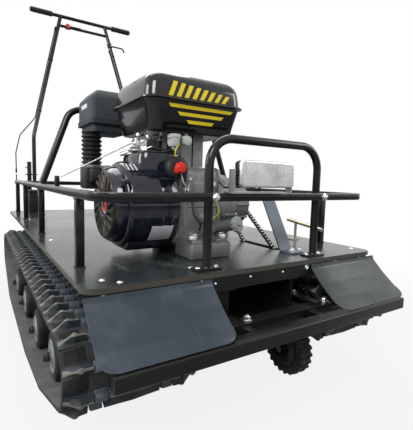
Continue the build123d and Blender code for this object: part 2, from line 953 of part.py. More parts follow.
def cylinder():
    """The leaning finned cylinder and its head, clear of the crankcase's rear wall."""
    rear = shaft_y + case_rear
    shape = Pos(0, 0, cylinder_length / 2) * Box(cylinder_core, cylinder_core, cylinder_length)
    pitch = cylinder_length / fin_count
    for index in range(fin_count):
        z = (index + 0.5) * pitch
        shape = shape + Pos(0, 0, z) * Box(fin_size, fin_size, fin_thickness)
    head_z = cylinder_length + head_length / 2
    head = Pos(0, 0, head_z) * Box(cylinder_core + 2 * fin_thickness, fin_size - 2 * fin_thickness, head_length)
    shape = shape + head
    placed = Pos(cylinder_x, rear, shaft_z + fin_thickness) * Rot(cylinder_lean - 90, 0, 0) * shape
    placed = placed - box(case_x0 - fin_size, case_x1 + fin_size, deck_front, rear, deck_under, tank_top)
    x0 = silencer_x - stub_size / 2
    y0 = tank_front_y + tank_length + silencer_gap + silencer_corner - stub_size / 2
    stub = box(x0, x0 + stub_size, y0, y0 + stub_size, silencer_bottom - stub_drop, silencer_bottom)
    return placed + stub


def fuel_tank():
    middle_x = tank_x
    middle_y = tank_front_y + tank_length / 2

    def section(z, growth, corner):
        half_width = tank_width / 2 + growth - corner
        half_length = tank_length / 2 + growth - corner
        points = []
        for quarter, (across, along) in enumerate(((1, 1), (-1, 1), (-1, -1), (1, -1))):
            for step in range(corner_steps + 1):
                angle = (quarter + step / corner_steps) * pi / 2
                x = across * half_width + corner * cos(angle)
                y = along * half_length + corner * sin(angle)
                points.append((middle_x + x, middle_y + y, z))
        return points

    seam_low = tank_seam - tank_seam_thickness / 2
    seam_high = tank_seam + tank_seam_thickness / 2
    lower = facet_solid([section(tank_bottom, -tank_lower_taper, tank_corner), section(seam_low, 0, tank_corner)])
    flange = facet_solid([section(z, tank_seam_width, tank_corner) for z in (seam_low, seam_high)])
    shoulder = tank_top - tank_dome
    sections = [
        section(seam_high, 0, tank_corner),
        section(shoulder, -tank_taper, tank_corner),
        section(tank_top, -tank_dome_inset, tank_corner),
    ]
    upper = facet_solid(sections)
    save("fuel_tank", [lower + flange + upper])
    save("tank_cap", [bar_z(middle_x, middle_y, cap_radius, tank_top, tank_top + cap_height)])
    legs = []
    for y in (tank_front_y + tank_leg_inset, shaft_y + case_rear - tank_leg_size):
        for x in (case_x0 + tank_leg_size, case_x1 - 2 * tank_leg_size):
            legs.append(box(x, x + tank_leg_size, y, y + tank_leg_size, case_top, tank_bottom))
    save("tank_legs", legs)


def air_filter():
    x1 = filter_x0 + filter_width
    y1 = filter_y0 + filter_length
    lid = box(filter_x0, x1, filter_y0, y1, filter_bottom + filter_base_height, filter_top)
    lid = chamfer(lid.faces().sort_by(Axis.Z)[-1].edges(), filter_chamfer)
    inset = filter_base_inset
    base = box(
        filter_x0 + inset,
        x1 - inset,
        filter_y0 + inset,
        y1 - inset,
        filter_bottom,
        filter_bottom + filter_base_height,
    )
    save("air_filter", [lid + base])
    duct = [bar_z(duct_x, duct_y, duct_width / 2, elbow_top, filter_bottom)]
    pitch = (filter_bottom - elbow_top) / duct_ring_count
    for index in range(duct_ring_count):
        z = elbow_top + (index + 0.5) * pitch
        ring = duct_width / 2 + duct_ring
        duct.append(bar_z(duct_x, duct_y, ring, z - pitch / 4, z + pitch / 4))
    save("intake_duct", [joined(duct)])


def carburettor():
    """The elbow under the duct and the body that it feeds, seated on the side of the head."""
    half = elbow_size / 2
    elbow = box(duct_x - half, duct_x + half, duct_y - half, duct_y + half, elbow_bottom, elbow_top)
    elbow = chamfer(elbow.faces().sort_by(Axis.Z)[0].edges(), elbow_bevel)
    head_x = cylinder_x - cylinder_core / 2 - fin_thickness
    body = box(intake_x0, head_x, intake_y0, intake_y1, intake_bottom, intake_top)
    middle_x = (intake_x0 + head_x) / 2
    middle_y = (intake_y0 + intake_y1) / 2
    bowl = bar_z(middle_x, middle_y, bowl_radius, intake_bottom - bowl_depth, intake_bottom, wheel_sides)
    save("carburettor", [elbow + body + bowl, throttle_wire()])


def throttle_wire():
    """A straight wire from a clip on the right rail to a plate on the hood."""
    half = throttle_clip_size / 2
    low = rail_top + seat_gap
    clip_top = low + throttle_clip_height
    clip_front = throttle_clip_y - half
    clip = box(-rail_x - half, half - rail_x, clip_front, clip_front + throttle_clip_size, low, clip_top)
    half = throttle_plate_size / 2
    base = hood_top + seat_gap
    plate_top = base + throttle_plate_height
    plate_front = throttle_plate_y - half
    x0 = throttle_plate_x - half
    plate = box(x0, x0 + throttle_plate_size, plate_front, plate_front + throttle_plate_size, base, plate_top)
    start = (-rail_x, throttle_clip_y, clip_top - throttle_wire_drop)
    end = (throttle_plate_x, throttle_plate_y, plate_top - throttle_wire_drop)
    return clip + rod(start, end, throttle_wire_radius) + plate


def silencer():
    x0 = silencer_x
    x1 = x0 + silencer_width
    y0 = tank_front_y + tank_length + silencer_gap
    z0 = silencer_bottom
    can = box(x0, x1, y0, y0 + silencer_length, z0, z0 + silencer_height)
    can = chamfer(can.edges().filter_by(Axis.X), silencer_corner)
    outlet = bar_x(y0 + silencer_length / 2, z0 + silencer_height / 3, pipe_radius, x1, x1 + 2 * pipe_radius)
    save("silencer", [can + outlet])


def gear_case():
    middle = case_x1 + gear_case_length
    end = middle + gear_cover_length
    solids = [bar_x(shaft_y, shaft_z, gear_case_radius, case_x1, middle, 2 * wheel_sides)]
    solids.append(bar_x(shaft_y, shaft_z, gear_cover_radius, middle, end, 2 * wheel_sides))
    solids.append(bar_x(output_y, output_z, output_hub_radius, middle, end + gear_boss_radius))
    reach = gear_case_radius - gear_boss_radius
    for index in range(gear_boss_count):
        angle = 2 * pi * (index + 0.5) / gear_boss_count
        y = shaft_y + reach * cos(angle)
        z = shaft_z + reach * sin(angle)
        solids.append(bar_x(y, z, gear_boss_radius, case_x1, middle + gear_boss_radius))
    shaft_hole = bar_x(output_y, output_z, output_shaft_radius, end, end + gear_boss_radius)
    save("gear_case", [joined(solids) - shaft_hole])


def engine_front():
    front = shaft_y - hood_front_reach
    half = switch_box_width / 2
    low = switch_z - switch_box_height / 2
    high = switch_z + switch_box_height / 2
    case = box(switch_x - half, switch_x + half, front - switch_box_depth, front, low, high)
    face = front - switch_box_depth
    save("switch_box", [case + bar_y(switch_x, switch_z, knob_radius, face - knob_length, face)])


def engine():
    crankcase()
    fan_housing()
    save("recoil_cover", [recoil_cover()])
    save("cylinder", [cylinder()])
    fuel_tank()
    air_filter()
    carburettor()
    silencer()
    gear_case()
    engine_front()


# Brace strip, side lever and rear box


def small_parts():
    line = [
        (brace_front_y, deck_top),
        (brace_front_y + brace_foot, deck_top),
        (brace_top_y, brace_top_z),
        (brace_top_y + brace_foot / 2, brace_top_z),
    ]
    raised = [(y, z + brace_thickness) for y, z in line]
    x0 = brace_x - brace_width / 2
    strip = side_prism(strip_outline(raised, brace_thickness), x0, x0 + brace_width)
    end = case_x1 + gear_case_length + gear_cover_length
    tab = box(end, x0, brace_top_y, brace_top_y + brace_foot / 2, brace_top_z, brace_top_z + brace_thickness)
    save("brace_strip", [strip + tab])
    half = lever_base / 2
    base = box(
        lever_x - half,
        lever_x + half / 2,
        lever_y - half / 2,
        lever_y + half / 2,
        deck_top,
        deck_top + lever_base_thickness,
    )
    rod = bar_z(lever_x, lever_y, lever_radius, deck_top, deck_top + lever_height)
    half_length = lever_handle_length / 2
    handle = Rot(lever_tilt, 0, 0) * bar_y(0, 0, lever_handle_radius, -half_length, half_length)
    top = Pos(lever_x, lever_y - half_length / 2, deck_top + lever_height) * handle
    save("side_lever", [base + rod + top])
    x0 = rear_box_x - rear_box_width / 2
    y0 = rear_box_y - rear_box_length / 2
    case = box(x0, x0 + rear_box_width, y0, y0 + rear_box_length, deck_top, deck_top + rear_box_height)
    save("rear_box", [chamfer(case.faces().sort_by(Axis.Z)[-1].edges(), hoop_foot_thickness)])


# Handlebar


def handlebar():
    solids = []
    for side in (-1, 1):
        points = [
            (side * bar_foot_x, bar_pivot_y, bar_pivot_z - bar_stub),
            (side * bar_foot_x, bar_pivot_y, bar_bend_z),
            (side * bar_top_x, bar_top_y, bar_top_z),
        ]
        solids.append(round_tube(points, bar_radius, bar_bend_radius))
    solids.append(bar_x(bar_top_y, bar_top_z, bar_radius, -bar_end_x, bar_end_x))
    share = cross_tube_drop / (bar_top_z - bar_bend_z)
    cross_x = bar_top_x + share * (bar_foot_x - bar_top_x)
    cross_y = bar_top_y - share * (bar_top_y - bar_pivot_y)
    solids.append(bar_x(cross_y, bar_top_z - cross_tube_drop, cross_tube_radius, -cross_x, cross_x))
    frame_shape = joined(solids)
    hole = pivot_radius + pivot_gap
    end = bar_foot_x + bar_radius + overrun
    save("handlebar", [frame_shape - bar_x(bar_pivot_y, bar_pivot_z, hole, -end, end)])
    grips = []
    for side in (-1, 1):
        x0, x1 = sorted((side * (bar_end_x - grip_length), side * bar_end_x))
        sleeve = bar_x(bar_top_y, bar_top_z, grip_radius, x0, x1)
        grips.append(sleeve - bar_x(bar_top_y, bar_top_z, bar_radius, x0, x1))
    save("grips", grips)


def bar_axis(side, share):
    """The point on an upright's slanted part, share 0 at the top and 1 at the bend."""
    x = side * (bar_top_x + share * (bar_foot_x - bar_top_x))
    y = bar_top_y - share * (bar_top_y - bar_pivot_y)
    return x, y, bar_top_z - share * (bar_top_z - bar_bend_z)


def throttle_run():
    """The cable down the right upright, which bows out to the end of the rail."""
    x0, y0, z0 = bar_axis(-1, cable_top_share)
    x1, y1, z1 = bar_axis(-1, cable_leave_share)
    path = [
        (x0 - cable_offset, y0, z0),
        (x1 - cable_offset, y1, z1),
        (cable_bow_x, cable_bow_y, cable_bow_z),
        (cable_end_x, bar_pivot_y, cable_drop_z),
        (cable_end_x, bar_pivot_y, bar_pivot_z + cable_guard),
    ]
    return round_tube(path, cable_radius, cable_bend, bar_sides // 2)


def brake_cable():
    """The cable down the inside of the left upright, which ends over the pivot."""
    x0, y0, z0 = bar_axis(1, brake_cable_top_share)
    x1, y1, z1 = bar_axis(1, brake_cable_leave_share)
    path = [
        (x0 - cable_offset, y0, z0),
        (x1 - cable_offset, y1, z1),
        (brake_cable_x, bar_pivot_y, brake_cable_low_z),
        (brake_cable_x, bar_pivot_y, bar_pivot_z + cable_guard),
    ]
    return round_tube(path, cable_radius, cable_bend, bar_sides // 2)


def brake_lever():
    """A clamp and a curved lever on the left upright, under the grip."""
    share = 2 * cross_tube_drop / (bar_top_z - bar_bend_z)
    x = bar_top_x + share * (bar_foot_x - bar_top_x)
    y = bar_top_y - share * (bar_top_y - bar_pivot_y)
    z = bar_top_z - 2 * cross_tube_drop
    reach = brake_lever_length
    path = [
        (x + brake_clamp_radius - overrun, y - bar_radius, z),
        (x + brake_lever_bend_share * reach, y - bar_radius, z),
        (x + reach, y - bar_radius, z - brake_lever_drop_share * reach),
    ]
    blade = round_tube(path, brake_lever_radius, brake_lever_drop_share * reach)
    lean_x = degrees(atan2(bar_foot_x - bar_top_x, bar_top_z - bar_bend_z))
    lean_y = degrees(atan2(bar_top_y - bar_pivot_y, bar_top_z - bar_bend_z))
    half = brake_clamp_length / 2
    ring = bar_z(0, 0, brake_clamp_radius, -half, half) - bar_z(0, 0, bar_radius + clamp_gap, -half, half)
    clamp = Pos(x, y, z) * Rot(-lean_y, -lean_x, 0) * ring
    save("brake_lever", [clamp + blade, brake_cable(), throttle_run()])


def handlebar_sockets():
    """A square post outside each upright, with the pin that the upright turns on."""
    sockets = []
    half = sleeve_size / 2
    foot = sleeve_foot / 2
    for side in (-1, 1):
        inner = side * (bar_foot_x + bar_radius + sleeve_gap)
        outer = inner + side * sleeve_size
        x0, x1 = sorted((inner, outer))
        middle = (x0 + x1) / 2
        post = box(x0, x1, bar_pivot_y - half, bar_pivot_y + half, deck_top, sleeve_top)
        base_top = deck_top + sleeve_foot_thickness
        base = box(middle - foot, middle + foot, bar_pivot_y - half, deck_rear - seat_gap, deck_top, base_top)
        p0, p1 = sorted((inner, side * (bar_foot_x - bar_radius - sleeve_gap)))
        sockets.append(post + base + pin_x(bar_pivot_y, bar_pivot_z, pivot_radius, p0, p1))
    for x in (cable_end_x, brake_cable_x):
        sockets.append(bar_z(x, bar_pivot_y, cable_radius, deck_top, bar_pivot_z - cable_guard))
    save("handlebar_sockets", sockets)


def build():
    os.makedirs("parts", exist_ok=True)
    save("deck_plate", [deck()])
    frame()
    running_gear()
    bumper()
    plates()
    hitch()
    railing()
    hoops()
    lamp()
    engine()
    small_parts()
    handlebar()
    brake_lever()
    handlebar_sockets()


build()
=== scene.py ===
import math

import bmesh
import bpy
import numpy as np
from mathutils import Matrix, Vector


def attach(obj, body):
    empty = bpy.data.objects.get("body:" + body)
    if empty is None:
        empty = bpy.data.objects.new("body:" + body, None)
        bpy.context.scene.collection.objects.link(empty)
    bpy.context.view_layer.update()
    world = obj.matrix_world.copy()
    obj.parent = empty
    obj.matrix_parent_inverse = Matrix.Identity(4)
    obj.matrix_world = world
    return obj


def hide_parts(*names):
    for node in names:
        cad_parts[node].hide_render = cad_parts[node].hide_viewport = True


bl_info = {
    "name": "Tracked snow tug",
    "version": (1, 0, 0),
    "blender": (4, 5, 0),
    "location": "View3D > Sidebar > Snow tug",
    "description": "Dresses the snow tug's frame with its finishes, small parts and stage",
    "category": "Object",
}

# Every number in the shapes below is in millimetres, in the frame's axes: the front faces -Y.
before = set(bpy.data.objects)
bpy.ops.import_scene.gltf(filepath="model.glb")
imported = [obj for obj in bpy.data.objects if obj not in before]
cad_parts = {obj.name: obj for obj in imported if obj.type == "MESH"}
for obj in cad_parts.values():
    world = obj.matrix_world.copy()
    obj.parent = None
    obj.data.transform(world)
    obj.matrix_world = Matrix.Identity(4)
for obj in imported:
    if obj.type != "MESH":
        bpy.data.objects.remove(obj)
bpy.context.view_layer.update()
MM = 0.001
TURN = 2 * math.pi
X, Y, Z = np.eye(3)


# Surfaces


def unit(rows):
    return rows / np.linalg.norm(rows, axis=-1, keepdims=True)


def circle(radius, count=24):
    """Points of a circle: the radius times the cosine and the sine of even turns."""
    turn = np.arange(count) / count * TURN
    return radius * np.stack([np.cos(turn), np.sin(turn)], 1)


def rounded(width, height, corner, steps=3):
    """A rounded rectangle: a quarter circle of the corner radius round each corner's centre."""
    quarter = np.repeat(np.arange(4), steps + 1) * TURN / 4
    turn = quarter + np.tile(np.linspace(0, TURN / 4, steps + 1), 4)
    across = np.sign(np.cos(quarter + TURN / 8)) * (width / 2 - corner)
    along = np.sign(np.sin(quarter + TURN / 8)) * (height / 2 - corner)
    return np.stack([across + corner * np.cos(turn), along + corner * np.sin(turn)], 1)


def bent(corners, radius, steps=8):
    """A path with an arc at each inner corner: points at even turns round a centre a radius off both runs."""
    corners = np.asarray(corners, float)
    into = unit(corners[1:-1] - corners[:-2])
    out = unit(corners[2:] - corners[1:-1])
    angle = np.arccos(np.clip((into * out).sum(1), -1, 1))
    inward = unit(out - (out * into).sum(1)[:, None] * into)
    start = corners[1:-1] - into * (radius * np.tan(angle / 2))[:, None]
    turn = (np.linspace(0, 1, steps + 1)[None] * angle[:, None])[..., None]
    arcs = start[:, None] + radius * (inward[:, None] * (1 - np.cos(turn)) + into[:, None] * np.sin(turn))
    return np.concatenate([corners[:1], arcs.reshape(-1, 3), corners[-1:]])


def carried(outline, path, side):
    """An outline carried along a path: its first number goes along the side direction, its second square to it."""
    path = np.asarray(path, float)
    ahead = unit(np.gradient(path, axis=0))
    side = unit(side - (ahead @ side)[:, None] * ahead)
    other = np.cross(ahead, side)
    return path[:, None] + outline[None, :, :1] * side[:, None] + outline[None, :, 1:] * other[:, None]


def square_to(axis):
    """Two directions square to an axis and to each other."""
    axis = unit(np.asarray(axis, float))
    first = unit(np.cross(axis, X if abs(axis[0]) < 0.9 else Z))
    return axis, first, np.cross(axis, first)


def turned(profile, centre, axis, count=40):
    """A profile of (radius, distance along the axis) turned once round the axis."""
    profile = np.asarray(profile, float)
    axis, first, second = square_to(axis)
    ring = circle(1, count) @ np.stack([first, second])
    return centre + profile[:, 1, None, None] * axis + profile[:, 0, None, None] * ring[None]


def stacked(outlines, places, centre, axis):
    """Flat outlines set one after another at their places along an axis through the centre."""
    axis, first, second = square_to(axis)
    outlines = np.asarray(outlines)
    return centre + outlines @ np.stack([first, second]) + np.asarray(places)[:, None, None] * axis


def block(low, high, corner=3.0, bevel=1.5, axis=2, steps=3):
    """A box with rounded edges: rounded rectangles along an axis, drawn in by a quarter circle at both ends."""
    low, high = np.asarray(low, float), np.asarray(high, float)
    size = high - low
    first, second = (axis + 1) % 3, (axis + 2) % 3
    turn = np.linspace(0, TURN / 4, steps)
    inset = np.concatenate([bevel * (1 - np.sin(turn)), bevel * (1 - np.sin(turn[::-1]))])
    rise = bevel * (1 - np.cos(turn))
    place = np.concatenate([rise, size[axis] - rise[::-1]])
    rows = [rounded(size[first] - 2 * i, size[second] - 2 * i, max(corner - i, 0.2), steps) for i in inset]
    grid = np.zeros((len(rows), len(rows[0]), 3))
    grid[..., first] = np.stack(rows)[..., 0] + (low[first] + high[first]) / 2
    grid[..., second] = np.stack(rows)[..., 1] + (low[second] + high[second]) / 2
    grid[..., axis] = place[:, None] + low[axis]
    return grid


def toothed(radius, depth, count, steps=8, flat=0.5):
    """A toothed outline: the radius less the depth wherever a wave round the circle is in its trough."""
    turn = np.arange(count * steps) / (count * steps) * TURN
    wave = np.clip(np.cos(turn * count) / (1 - flat) * 0.8 + 0.2, -1, 1) * 0.5 - 0.5
    reach = radius + depth * wave
    return np.stack([reach * np.cos(turn), reach * np.sin(turn)], 1)


def quads(rows, columns, loop, closed):
    """Four-sided faces between neighbouring rows and columns of a grid."""
    row = np.arange(rows if loop else rows - 1)[:, None]
    column = np.arange(columns if closed else columns - 1)[None]
    ahead, beside = (row + 1) % rows, (column + 1) % columns
    corners = (row * columns + column, row * columns + beside, ahead * columns + beside, ahead * columns + column)
    return np.stack([np.broadcast_to(c, (row.size, column.size)).ravel() for c in corners], 1)


class Form:
    """Surfaces gathered for one mesh: points, faces and the finish of each face."""

    def __init__(self):
        self.points, self.faces, self.finish, self.count = [], [], [], 0

    def add(self, points, *face_sets, finish=0):
        for faces in face_sets:
            self.faces.append(np.asarray(faces) + self.count)
            self.finish.append(np.broadcast_to(finish, len(faces)))
        self.points.append(np.asarray(points, float).reshape(-1, 3))
        self.count += len(self.points[-1])
        return self

    def skin(self, grid, finish=0, caps=True, loop=False):
        """A closed wall through the rows of a grid, with a flat cap at each end unless it is a loop."""
        rows, columns = grid.shape[:2]
        start = self.count
        self.add(grid, quads(rows, columns, loop, True), finish=finish)
        if caps and not loop:
            ends = np.stack([np.arange(columns)[::-1], (rows - 1) * columns + np.arange(columns)])
            self.faces.append(ends + start)
            self.finish.append(np.ravel(finish)[[0, -1]])
        return self

    def copies(self, other, spots, axis=Z, finish=None):
        """Another form, whose own z goes along the axis, set down at each spot, in its own or in one finish."""
        points = np.concatenate(other.points)
        axis, first, second = square_to(axis)
        placed = points @ np.stack([first, second, axis])
        spots = np.asarray(spots, float).reshape(-1, 3)
        start = self.count + np.arange(len(spots))[:, None, None] * len(points)
        for faces, own in zip(other.faces, other.finish):
            self.faces.append((faces[None] + start).reshape(-1, faces.shape[1]))
            self.finish.append(np.tile(own, len(spots)) * (finish is None) + (finish or 0))
        self.points.append((spots[:, None] + placed[None]).reshape(-1, 3))
        self.count += len(self.points[-1])
        return self


def piece(name, form, finishes, body="chassis", stands_for=(), crease=38.0, bevel=0.0):
    """Makes one object from a form, with its faces turned outwards, and lets it ride on a body."""
    mesh = bpy.data.meshes.new(name)
    faces = [face for rows in form.faces for face in rows.tolist()]
    mesh.from_pydata((np.concatenate(form.points) * MM).tolist(), [], faces)
    for label in finishes.split():
        mesh.materials.append(finish(label))
    mesh.polygons.foreach_set("material_index", np.concatenate(form.finish).astype(np.int32))
    mesh.polygons.foreach_set("use_smooth", np.ones(len(faces), bool))
    work = bmesh.new()
    work.from_mesh(mesh)
    bmesh.ops.remove_doubles(work, verts=work.verts, dist=1e-6)
    bmesh.ops.recalc_face_normals(work, faces=work.faces)
    work.to_mesh(mesh)
    work.free()
    mesh.set_sharp_from_angle(angle=math.radians(crease))
    made = bpy.data.objects.new(name, mesh)
    bpy.context.scene.collection.objects.link(made)
    if bevel:
        edge = made.modifiers.new("bevel", "BEVEL")
        edge.width = bevel * MM
        edge.segments = 2
        edge.limit_method = "ANGLE"
        edge.angle_limit = math.radians(crease)
    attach(made, body)
    if stands_for:
        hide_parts(*stands_for.split())
    return made


# Finishes


class Socket:
    """A node socket that takes Python's arithmetic signs and adds Math nodes for them."""

    def __init__(self, owner, link):
        self.owner = owner
        self.link = link

    def _math(self, operation, *values, clamp=False):
        node = self.owner.tree.nodes.new("ShaderNodeMath")
        node.operation = operation
        node.use_clamp = clamp
        for slot, value in zip(node.inputs, values):
            self.owner.put(slot, value)
        return Socket(self.owner, node.outputs[0])

    def __add__(self, other):
        return self._math("ADD", self, other)

    __radd__ = __add__

    def __mul__(self, other):
        return self._math("MULTIPLY", self, other)

    __rmul__ = __mul__

    def __sub__(self, other):
        return self._math("SUBTRACT", self, other)

    def __rsub__(self, other):
        return self._math("SUBTRACT", other, self)

    def clamp(self):
        return self._math("ADD", self, 0.0, clamp=True)

    def sin(self):
        return self._math("SINE", self)

    def absolute(self):
        return self._math("ABSOLUTE", self)

    def fraction(self):
        return self._math("FRACT", self)

    def smooth(self, low, high):
        """0 below low, 1 above high, and a smooth rise between."""
        node = self.owner.tree.nodes.new("ShaderNodeMapRange")
        node.interpolation_type = "SMOOTHSTEP"
        self.owner.put(node.inputs["Value"], self)
        node.inputs["From Min"].default_value = low
        node.inputs["From Max"].default_value = high
        return Socket(self.owner, node.outputs["Result"])


class Finish:
    """One material: a Principled shader whose changing sockets are fed by expressions."""

    def __init__(self, name, **constants):
        self.material = bpy.data.materials.new(name)
        self.material.use_nodes = True
        self.tree = self.material.node_tree
        self.shader = self.tree.nodes["Principled BSDF"]
        self.shader.inputs["Specular IOR Level"].default_value = 0.25
        for socket, value in constants.items():
            self.shader.inputs[socket.replace("_", " ")].default_value = value
        self.place = self.node("ShaderNodeTexCoord", "Object")

    def put(self, slot, value):
        if isinstance(value, Socket):
            self.tree.links.new(value.link, slot)
        else:
            slot.default_value = value

    def node(self, kind, output, settings=None, **sockets):
        """Adds a node, sets its settings, then its sockets, and gives one output."""
        made = self.tree.nodes.new(kind)
        for key, value in (settings or {}).items():
            setattr(made, key, value)
        for key, value in sockets.items():
            self.put(made.inputs[key.replace("_", " ")], value)
        return Socket(self, made.outputs[output])

    def noise(self, scale, detail=4.0, roughness=0.55, place=None):
        sockets = {"Vector": place or self.place, "Scale": scale, "Detail": detail, "Roughness": roughness}
        return self.node("ShaderNodeTexNoise", "Fac", **sockets)

    def cells(self, scale, feature="F1", output="Distance"):
        return self.node("ShaderNodeTexVoronoi", output, {"feature": feature}, Vector=self.place, Scale=scale)

    def stretched(self, scale):
        return self.node("ShaderNodeMapping", "Vector", Vector=self.place, Scale=scale)

    def axis(self, letter, place=None):
        node = self.tree.nodes.new("ShaderNodeSeparateXYZ")
        self.put(node.inputs[0], place or self.place)
        return Socket(self, node.outputs[letter])

    def up(self):
        """How far the surface faces upwards, from -1 to 1."""
        return self.axis("Z", self.node("ShaderNodeNewGeometry", "Normal"))

    def worn(self, radius):
        """Near 0 on flat faces and larger on edges, from how far a rounded edge would turn the surface."""
        bevel = self.node("ShaderNodeBevel", "Normal", {"samples": 4}, Radius=radius)
        flat = self.node("ShaderNodeNewGeometry", "Normal")
        dot = self.node("ShaderNodeVectorMath", "Value", {"operation": "DOT_PRODUCT"})
        self.tree.links.new(bevel.link, dot.link.node.inputs[0])
        self.tree.links.new(flat.link, dot.link.node.inputs[1])
        return 1.0 - dot

    def blend(self, factor, first, second):
        made = self.tree.nodes.new("ShaderNodeMix")
        made.data_type = "RGBA"
        self.put(made.inputs["Factor"], factor)
        self.put(made.inputs[6], first if isinstance(first, Socket) else (*first, 1.0))
        self.put(made.inputs[7], second if isinstance(second, Socket) else (*second, 1.0))
        return Socket(self, made.outputs[2])

    def colour(self, value):
        self.put(self.shader.inputs["Base Color"], value if isinstance(value, Socket) else (*value, 1.0))
        return self

    def rough(self, value):
        self.put(self.shader.inputs["Roughness"], value)
        return self

    def bump(self, height, strength=0.4, distance=0.001):
        made = self.tree.nodes.new("ShaderNodeBump")
        made.inputs["Strength"].default_value = strength
        made.inputs["Distance"].default_value = distance
        self.put(made.inputs["Height"], height)
        self.tree.links.new(made.outputs[0], self.shader.inputs["Normal"])
        return self


def lighter(colour, share, towards=(0.55, 0.54, 0.52)):
    return tuple(a + (b - a) * share for a, b in zip(colour, towards))


def satin_paint(name, tint, dusty=0.08, roughness=0.32, edge=0.25, coat=0.0, scratched=0.0):
    """Satin paint: faint orange peel, rubbed edges, scuffs, scratches and dust that lies on upward faces."""
    made = Finish(name, Coat_Weight=coat, Coat_Roughness=0.12)
    cloud = made.noise(9.0, 5.0)
    fine = made.noise(420.0, 2.0)
    scuffs = made.noise(38.0, 8.0, 0.7, made.stretched((1.0, 0.25, 1.0))).smooth(0.62, 0.78)
    lying = made.up().smooth(0.3, 1.0)
    layer = lying * cloud * dusty + scuffs * 0.05
    if edge:
        layer = layer + made.worn(0.002).smooth(0.02, 0.3) * edge * 0.5
    if scratched:
        lines = made.noise(30.0, 5.0, 0.7, made.stretched((1.0, 0.1, 0.1))).smooth(0.62, 0.72)
        patches = made.noise(5.5, 6.0, 0.68).smooth(0.45, 0.75)
        layer = layer + (lines * 0.35 + patches * 0.4) * scratched
    layer = layer.clamp()
    made.colour(made.blend(layer, tint, lighter(tint, 0.3)))
    made.rough(cloud * 0.14 + roughness - 0.07 + layer * 0.3)
    made.bump(fine, 0.1, 0.0005)
    return made.material


def film_board(name, tint, core=(0.075, 0.068, 0.056)):
    """A film-faced board: dark glossy film with foot scuffs and pale cloudy streaks that are partly dusty wear and
    partly a painted sheen, and a pale layered edge.
    """
    made = Finish(name, Coat_Weight=0.25, Coat_Roughness=0.2)
    cloud = made.noise(3.2, 6.0, 0.6)
    swirl = made.noise(11.0, 9.0, 0.72, made.stretched((1.0, 0.4, 1.0)))
    scratch = made.noise(60.0, 4.0, 0.7, made.stretched((0.12, 1.0, 1.0)))
    # Pale cloudy streaks over the film: partly dusty scuffs, partly a painted sheen of the glossy film.
    dust_and_sheen = (cloud.smooth(0.45, 0.7) * 0.3 + swirl.smooth(0.52, 0.72) * 0.5 + scratch.smooth(0.64, 0.74) * 0.4).clamp()
    film = made.blend(dust_and_sheen, tint, lighter(tint, 0.5, (0.34, 0.36, 0.37)))
    plies = (made.axis("Z") * 2600.0).sin().smooth(-0.4, 0.4)
    grain = made.noise(90.0, 5.0)
    edge = made.blend((plies * 0.5 + grain * 0.4).clamp(), core, tuple(c * 0.45 for c in core))
    side = 1.0 - made.up().absolute().smooth(0.35, 0.75)
    made.colour(made.blend(side, film, edge))
    made.rough(dust_and_sheen * 0.35 + 0.22 + side * 0.35)
    made.bump(cloud + scratch * 0.3, 0.06, 0.001)
    return made.material


def bare_metal(name, tint, roughness=0.32, metallic=1.0, grain=(8.0, 240.0, 240.0)):
    """Bare steel: a fine grain and cloudy tarnish."""
    made = Finish(name, Metallic=metallic)
    cloud = made.noise(22.0, 5.0)
    lines = made.noise(1.0, 3.0, 0.6, made.stretched(grain))
    made.colour(made.blend(cloud.smooth(0.35, 0.8), tint, tuple(c * 0.6 for c in tint)))
    made.rough(lines * 0.2 + cloud * 0.12 + roughness - 0.12)
    made.bump(lines, 0.12, 0.0004)
    return made.material


def cast_metal(name, tint, roughness=0.5, metallic=0.55):
    """Sand-cast metal: a pebbled skin, darker grime in patches and paler edges."""
    made = Finish(name, Metallic=metallic)
    skin = made.noise(330.0, 4.0, 0.65)
    grime = made.noise(16.0, 6.0, 0.65).smooth(0.45, 0.8)
    rubbed = made.worn(0.0025).smooth(0.02, 0.3)
    dirty = made.blend(grime * 0.6, tint, tuple(c * 0.3 for c in tint))
    made.colour(made.blend(rubbed * 0.4, dirty, lighter(tint, 0.5)))
    made.rough(skin * 0.2 + roughness - 0.1 + grime * 0.15)
    made.bump(skin, 0.35, 0.0008)
    return made.material


def rubber(name, tint, dusty=0.25, roughness=0.62, pattern=0.0):
    """Rubber: matt and slightly pitted, with pale dust in patches and, on the belt, a fine diamond pattern."""
    made = Finish(name)
    cloud = made.noise(13.0, 6.0, 0.6)
    pits = made.noise(260.0, 4.0, 0.7)
    layer = (cloud.smooth(0.4, 0.72) * dusty + made.up().smooth(0.2, 1.0) * dusty * 0.4).clamp()
    made.colour(made.blend(layer, tint, lighter(tint, 0.35)))
    made.rough(cloud * 0.2 + roughness - 0.1)
    height = pits
    if pattern:
        across, along, high = (made.axis(letter) for letter in "XYZ")
        run = along + high
        first = ((across + run) * 700.0).sin().absolute()
        second = ((across - run) * 700.0).sin().absolute()
        height = (first * second) * pattern + pits * 0.5
    made.bump(height, 0.3, 0.0009)
    return made.material


def moulded(name, tint, roughness=0.42, coat=0.0):
    """Moulded plastic with a fine even grain and faint cloudy handling marks."""
    made = Finish(name, Coat_Weight=coat)
    grain = made.noise(700.0, 2.0)
    cloud = made.noise(12.0, 4.0)
    layer = cloud.smooth(0.4, 0.9) * 0.35 + made.worn(0.0015).smooth(0.02, 0.3) * 0.2
    made.colour(made.blend(layer.clamp(), tint, lighter(tint, 0.16)))
    made.rough(cloud * 0.15 + roughness - 0.07)
    made.bump(grain, 0.14, 0.0004)
    return made.material


